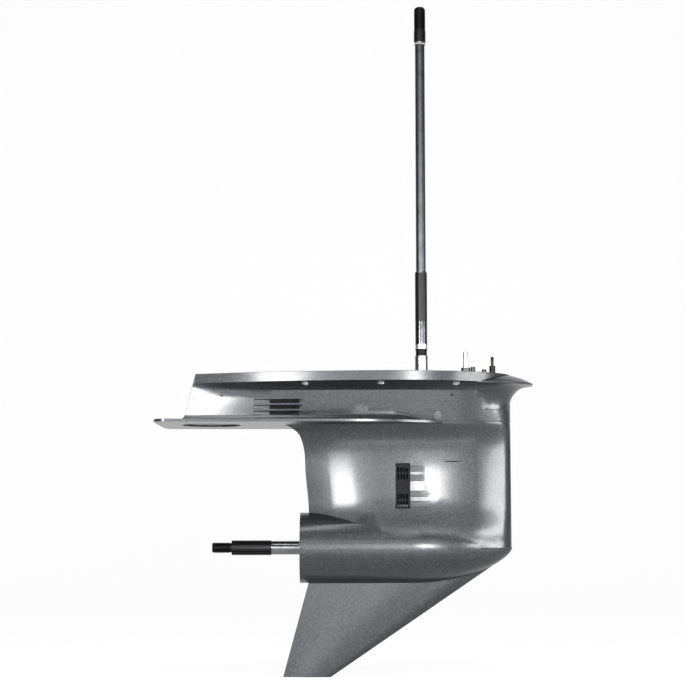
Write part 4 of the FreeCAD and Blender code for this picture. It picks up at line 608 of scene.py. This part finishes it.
class LOWERUNIT_OT_drive_shaft(bpy.types.Operator):
    """Give the drive shaft its ground, hardened and polished lengths"""
    bl_idname = "lowerunit.drive_shaft"
    bl_label = "Drive shaft"

    def execute(self, context):
        dark, bright = linear("#2b2b2c"), linear("#58595c")
        steel = linear("#5a5b5f")
        # Where each finish starts, going up the shaft, with its colour and roughness.
        zones = [
            (-0.36, linear("#8a8b8e"), 0.3),
            (0.034, linear("#1c1c1d"), 0.5),
            (0.044, linear("#c4c5c6"), 0.4),
            (0.053, bright, 0.2),
            (0.092, dark, 0.38),
            (0.175, steel, 0.33),
            (0.2305, bright, 0.2),
            (0.2330, steel, 0.33),
            (0.5775, linear("#e6e6e6"), 0.22),
            (0.5805, dark, 0.36),
            (0.6066, linear("#161617"), 0.45),
        ]
        skin("drive_shaft_ground", "drive_shaft",
             zoned_shaft("ground_alloy_steel_zones", "Z", -0.36, 0.66, zones))
        return {"FINISHED"}


class LOWERUNIT_OT_propeller_shaft(bpy.types.Operator):
    """Cut the thread on the propeller shaft and finish its lengths"""
    bl_idname = "lowerunit.propeller_shaft"
    bl_label = "Propeller shaft"

    def execute(self, context):
        settings = context.scene.lower_unit.shafts
        # The thread's depth is 0.62 of its pitch.
        root = settings.thread_radius - 0.62 * settings.thread_pitch
        zones = [
            (-0.36, linear("#1d1d1e"), 0.42),
            (THREAD_FRONT, linear("#0e0e0f"), 0.5),
            (-0.3214, linear("#2a2a2b"), 0.32),
            (-0.2535, linear("#808184"), 0.16),
            (-0.2100, linear("#85868a"), 0.3),
        ]
        steel = zoned_shaft("ground_stainless_shaft", "X", -0.36, 0.08, zones)

        def under_thread(points):
            """Brings the plain length under the thread in to the thread's root."""
            radius = np.hypot(points[:, 1], points[:, 2] - SHAFT_AXIS_HEIGHT)
            inside = (points[:, 0] < THREAD_FRONT + 0.1 * MM) & (radius > root)
            share = np.where(inside, (root - 0.05 * MM) / np.maximum(radius, 1e-9), 1.0)
            moved = points.copy()
            moved[:, 1] *= share
            moved[:, 2] = SHAFT_AXIS_HEIGHT + (points[:, 2] - SHAFT_AXIS_HEIGHT) * share
            return moved

        skin("propeller_shaft_ground", "propeller_shaft", steel, reshape=under_thread)
        points, faces = screw_thread(settings.thread_radius, root, settings.thread_pitch,
                                     THREAD_REAR + 0.6 * MM, THREAD_FRONT)
        thread = mesh_object("propeller_nut_thread", points, faces, steel, 50.0)
        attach(thread, "propeller_shaft_group")
        return {"FINISHED"}


class LOWERUNIT_OT_shift_shaft(bpy.types.Operator):
    """Finish the shift shaft and the sliding parts it moves"""
    bl_idname = "lowerunit.shift_shaft"
    bl_label = "Shift shaft"

    def execute(self, context):
        zones = [(-0.32, linear("#5d5e61"), 0.35), (0.0135, linear("#dcdddf"), 0.18)]
        skin("shift_shaft_ground", "shift_shaft",
             zoned_shaft("ground_stainless_rod", "Z", -0.32, 0.05, zones))
        return {"FINISHED"}


class LOWERUNIT_OT_gears(bpy.types.Operator):
    """Finish the bevel gears, the dog clutch and the steel parts that run with them"""
    bl_idname = "lowerunit.gears"
    bl_label = "Gears and clutch"

    def execute(self, context):
        # Carburised and lapped: dark grey bodies with a fine even grain.
        gear = metal("carburised_gear_steel", linear("#7b7c80"), linear("#46474a"), 0.34,
                     1.2, depth=0.01)
        hard = metal("hardened_clutch_steel", linear("#8c8d90"), linear("#5d5e61"), 0.28,
                     0.8, axis="X", depth=0.01)
        finish(["pinion_gear", "forward_gear", "reverse_gear"], gear)
        finish(["clutch_dog", "clutch_cross_pin", "shift_slider", "pinion_nut"], hard)
        finish(["clutch_spring_ring", "reverse_thrust_washer", "impeller_key"],
               metal("spring_steel", linear("#8f8f92"), linear("#616266"), 0.3, 0.6))
        return {"FINISHED"}


class LOWERUNIT_OT_bearings(bpy.types.Operator):
    """Finish the rolling bearings' races, rollers and balls"""
    bl_idname = "lowerunit.bearings"
    bl_label = "Bearings"

    def execute(self, context):
        along = metal("ground_race_steel_fore_and_aft", linear("#b4b6ba"), linear("#8f9195"),
                      0.16, 0.5, axis="X", depth=0.004)
        upright = metal("ground_race_steel_upright", linear("#b4b6ba"), linear("#8f9195"),
                        0.16, 0.5, axis="Z", depth=0.004)
        polished = metal("polished_roller_steel", linear("#c9cbd0"), linear("#a9abb0"),
                         0.1, 0.8, depth=0.002)
        finish(["forward_bearing_cone", "forward_bearing_cup", "reverse_bearing_inner_race",
                "reverse_bearing_outer_race", "carrier_front_needle_bearing",
                "carrier_rear_needle_bearing", "forward_gear_needle_bearing"], along)
        finish(["upper_bearing_cone", "upper_bearing_cup", "pinion_needle_bearing"], upright)
        finish(["forward_bearing_rollers", "upper_bearing_rollers", "reverse_bearing_balls"],
               polished)
        return {"FINISHED"}


class LOWERUNIT_OT_carrier(bpy.types.Operator):
    """Finish the propeller shaft's bearing carrier and its ring nut"""
    bl_idname = "lowerunit.carrier"
    bl_label = "Bearing carrier"

    def execute(self, context):
        cast = metal("gravity_cast_aluminium", linear("#8b8c8e"), linear("#66676a"), 0.46,
                     2.2, depth=0.06, patch=30.0)
        skin("bearing_carrier_casting", "bearing_carrier", cast, 30.0)
        steel = metal("zinc_plated_steel", linear("#9c9da0"), linear("#77787c"), 0.3, 1.0,
                      depth=0.01)
        finish(["carrier_ring_nut", "carrier_lock_washer"], steel)
        return {"FINISHED"}


class LOWERUNIT_OT_pump(bpy.types.Operator):
    """Finish the water pump on top of the gearcase"""
    bl_idname = "lowerunit.pump"
    bl_label = "Water pump"

    def execute(self, context):
        nylon = moulded("glass_filled_nylon", linear("#2c2d2f"), linear("#1b1c1d"), 0.42,
                        1.1, 0.04)
        skin("water_pump_moulding", "water_pump_housing", nylon, 30.0)
        finish(["pump_impeller", "water_pump_seal"],
               moulded("neoprene_rubber", linear("#1d1d1e"), linear("#111112"), 0.62, 0.9, 0.02))
        pressed = metal("pressed_stainless_sheet", linear("#b2b3b5"), linear("#8d8e91"), 0.27,
                        0.9, depth=0.008)
        finish(["pump_insert_cup", "pump_wear_plate", "water_pump_bolts"], pressed)
        finish(["pump_base_gasket", "pump_upper_gasket"], fibre_gasket())
        return {"FINISHED"}


class LOWERUNIT_OT_seals(bpy.types.Operator):
    """Finish the shaft seals, the O-ring and the housings that hold them"""
    bl_idname = "lowerunit.seals"
    bl_label = "Seals"

    def execute(self, context):
        rubber = moulded("nitrile_rubber", linear("#202021"), linear("#131314"), 0.55, 0.8, 0.015)
        finish(["inner_propeller_shaft_seal", "outer_propeller_shaft_seal",
                "upper_drive_shaft_seal", "lower_drive_shaft_seal", "shift_shaft_seal",
                "carrier_o_ring"], rubber)
        acetal = moulded("black_acetal", linear("#252628"), linear("#17181a"), 0.36, 1.4, 0.02)
        finish(["drive_shaft_seal_housing"], acetal)
        skin("shift_seal_moulding", "shift_seal_housing", acetal, 30.0)
        return {"FINISHED"}


class LOWERUNIT_OT_fittings(bpy.types.Operator):
    """Finish the screens, plugs, nipple, screw and dowel on the outside"""
    bl_idname = "lowerunit.fittings"
    bl_label = "Outside fittings"

    def execute(self, context):
        nylon = moulded("black_nylon_screen", linear("#0f0f10"), linear("#080809"), 0.7,
                        1.2, 0.03, shine=0.15)
        for side in ("starboard", "port"):
            skin(side + "_intake_moulding", side + "_intake_screen", nylon, 30.0)
        steel = metal("turned_stainless_screw", linear("#4a4b4e"), linear("#2e2f31"), 0.46, 0.5,
                      depth=0.008)
        skin("level_plug_screw", "level_plug", steel, 30.0)
        skin("drain_plug_screw", "drain_plug", steel, 30.0)
        finish(["shift_housing_screw", "front_dowel"], steel)
        finish(["level_plug_gasket", "drain_plug_gasket"],
               moulded("rubber_faced_washer", linear("#141415"), linear("#0a0a0b"), 0.6,
                       0.8, 0.02))
        brass = metal("dulled_brass", linear("#3a372f"), linear("#1c1b18"), 0.5, 0.6, axis="Z",
                      depth=0.01)
        skin("speedometer_fitting", "speedometer_nipple", brass, 30.0)
        return {"FINISHED"}


def lamp(name, centre, target, size, power):
    """A soft box: a rectangular area lamp that faces its target."""
    data = bpy.data.lights.new(name, "AREA")
    data.shape = "RECTANGLE"
    data.size, data.size_y = size
    data.energy = power
    made = bpy.data.objects.new(name, data)
    made.location = centre
    made.rotation_euler = (Vector(target) - Vector(centre)).to_track_quat("-Z", "Y").to_euler()
    bpy.context.scene.collection.objects.link(made)


def studio_paper(colour):
    """Matt white paper that the camera and reflections see as white, with the shadow kept."""
    material, tree, shader = blank_material("matt_studio_paper")
    shader.inputs["Base Color"].default_value = rgba(tuple(colour))
    shader.inputs["Roughness"].default_value = 1.0
    shader.inputs["Specular IOR Level"].default_value = 0.0
    path = add_node(tree, "ShaderNodeLightPath")
    seen = path.outputs["Is Camera Ray"]
    for ray in ("Is Glossy Ray", "Is Transmission Ray"):
        seen = add_node(tree, "ShaderNodeMath", {0: seen, 1: path.outputs[ray]},
                        operation="MAXIMUM").outputs[0]
    white = add_node(tree, "ShaderNodeEmission", {"Color": rgba(tuple(colour)), "Strength": 1.0})
    share = add_node(tree, "ShaderNodeMath", {0: seen, 1: 0.93}, operation="MULTIPLY")
    both = add_node(tree, "ShaderNodeMixShader", {0: share.outputs[0]})
    tree.links.new(shader.outputs["BSDF"], both.inputs[1])
    tree.links.new(white.outputs["Emission"], both.inputs[2])
    out = next(n for n in tree.nodes if n.bl_idname == "ShaderNodeOutputMaterial")
    tree.links.new(both.outputs["Shader"], out.inputs["Surface"])
    return material


def sweep(width, front, rear, height, floor, radius):
    """The floor and backdrop as one sheet: a straight run, a quarter round and a rise.

    One parameter crosses the sheet along X; the other follows the profile in Y and Z.
    """
    turn = np.linspace(0, np.pi / 2, 25)
    y = np.concatenate([[front], rear - radius + radius * np.sin(turn), [rear]])
    z = np.concatenate([[0.0], radius - radius * np.cos(turn), [height]]) + floor
    x = np.array([[-width / 2], [width / 2]])
    return sheet(x, y[None, :], z[None, :])


class LOWERUNIT_OT_stage(bpy.types.Operator):
    """Put up the camera, the soft boxes, the floor and the backdrop"""
    bl_idname = "lowerunit.stage"
    bl_label = "Studio"

    def execute(self, context):
        scene = context.scene
        settings = scene.lower_unit.stage
        data = bpy.data.cameras.new("studio_camera")
        data.lens = settings.lens
        data.sensor_width = 36.0
        data.clip_end = 50.0
        camera = bpy.data.objects.new("studio_camera", data)
        camera.location = CAMERA_PLACE
        camera.rotation_euler = (radians(90 + CAMERA_TILT), 0, 0)
        scene.collection.objects.link(camera)
        scene.camera = camera

        # The floor lies half a millimetre under the skeg's foot.
        points, faces = sweep(width=14.0, front=-0.8, rear=4.0, height=6.0,
                              floor=CAD_BOX[0][2] - 0.5 * MM, radius=1.2)
        paper = mesh_object("studio_sweep", points, faces, studio_paper(settings.background), 60)

        # Each box stands where the casting mirrors it: the left one on the leg's tapering
        # rear, the middle one on its flank, the right one on its rounded front, the front
        # wall box on the upright wall and flank, and the long one as a soft band along the
        # torpedo.  The overhead one fills the top.
        aim = (-0.1, 0.0, -0.15)
        power = settings.key_power
        lamp("left_soft_box", (-1.36, -2.06, 0.05), aim, (0.48, 0.46), power * 0.85)
        lamp("middle_soft_box", (0.6, -3.38, 0.08), aim, (0.5, 0.5), power * 1.1)
        lamp("right_soft_box", (1.6, -1.15, -0.02), aim, (1.2, 0.4), power * 0.65)
        lamp("front_wall_box", (-0.1, -3.7, -0.1), aim, (3.0, 1.0), power * 0.62)
        # A bounce card stands before the table and below its top: the top's front edge
        # keeps it off the torpedo's underside, and the raked wall mirrors it.
        lamp("low_bounce_card", (-0.1, -2.2, -1.12), (-0.1, 0.0, -0.06), (3.0, 0.8),
             power * 0.42)
        lamp("front_long_box", (-0.1, -3.0, 0.95), aim, (2.6, 0.5), power * 0.15)
        lamp("overhead_soft_box", (-0.2, -0.9, 2.1), aim, (1.8, 1.2), power * 0.8)

        world = bpy.data.worlds.new("studio_air")
        scene.world = world
        world.use_nodes = True
        tree = world.node_tree
        tree.nodes.clear()
        back = add_node(tree, "ShaderNodeBackground", {"Color": rgba(grey(0.1)),
                                                       "Strength": 1.0})
        add_node(tree, "ShaderNodeOutputWorld", {"Surface": back.outputs["Background"]})
        scene.view_settings.view_transform = "Standard"
        return {"FINISHED"}


class LOWERUNIT_PT_panel(bpy.types.Panel):
    """The unit's sizes, colours and steps"""
    bl_label = "Lower unit"
    bl_idname = "LOWERUNIT_PT_panel"
    bl_space_type = "VIEW_3D"
    bl_region_type = "UI"
    bl_category = "Lower unit"

    def draw(self, context):
        settings = context.scene.lower_unit
        for group in (settings.casing, settings.shafts, settings.stage):
            for name in group.__annotations__:
                self.layout.prop(group, name)
        for step in STEPS:
            self.layout.operator(step.bl_idname)


STEPS = (
    LOWERUNIT_OT_casing,
    LOWERUNIT_OT_drive_shaft,
    LOWERUNIT_OT_propeller_shaft,
    LOWERUNIT_OT_shift_shaft,
    LOWERUNIT_OT_gears,
    LOWERUNIT_OT_bearings,
    LOWERUNIT_OT_carrier,
    LOWERUNIT_OT_pump,
    LOWERUNIT_OT_seals,
    LOWERUNIT_OT_fittings,
    LOWERUNIT_OT_stage,
)
CLASSES = (CasingSettings, ShaftSettings, StageSettings, LowerUnitSettings,
           *STEPS, LOWERUNIT_PT_panel)


def register():
    for kind in CLASSES:
        bpy.utils.register_class(kind)
    bpy.types.Scene.lower_unit = PointerProperty(type=LowerUnitSettings)


def unregister():
    del bpy.types.Scene.lower_unit
    for kind in reversed(CLASSES):
        bpy.utils.unregister_class(kind)


def main():
    register()
    for step in STEPS:
        group, name = step.bl_idname.split(".")
        getattr(getattr(bpy.ops, group), name)()


if __name__ == "__main__":
    main()
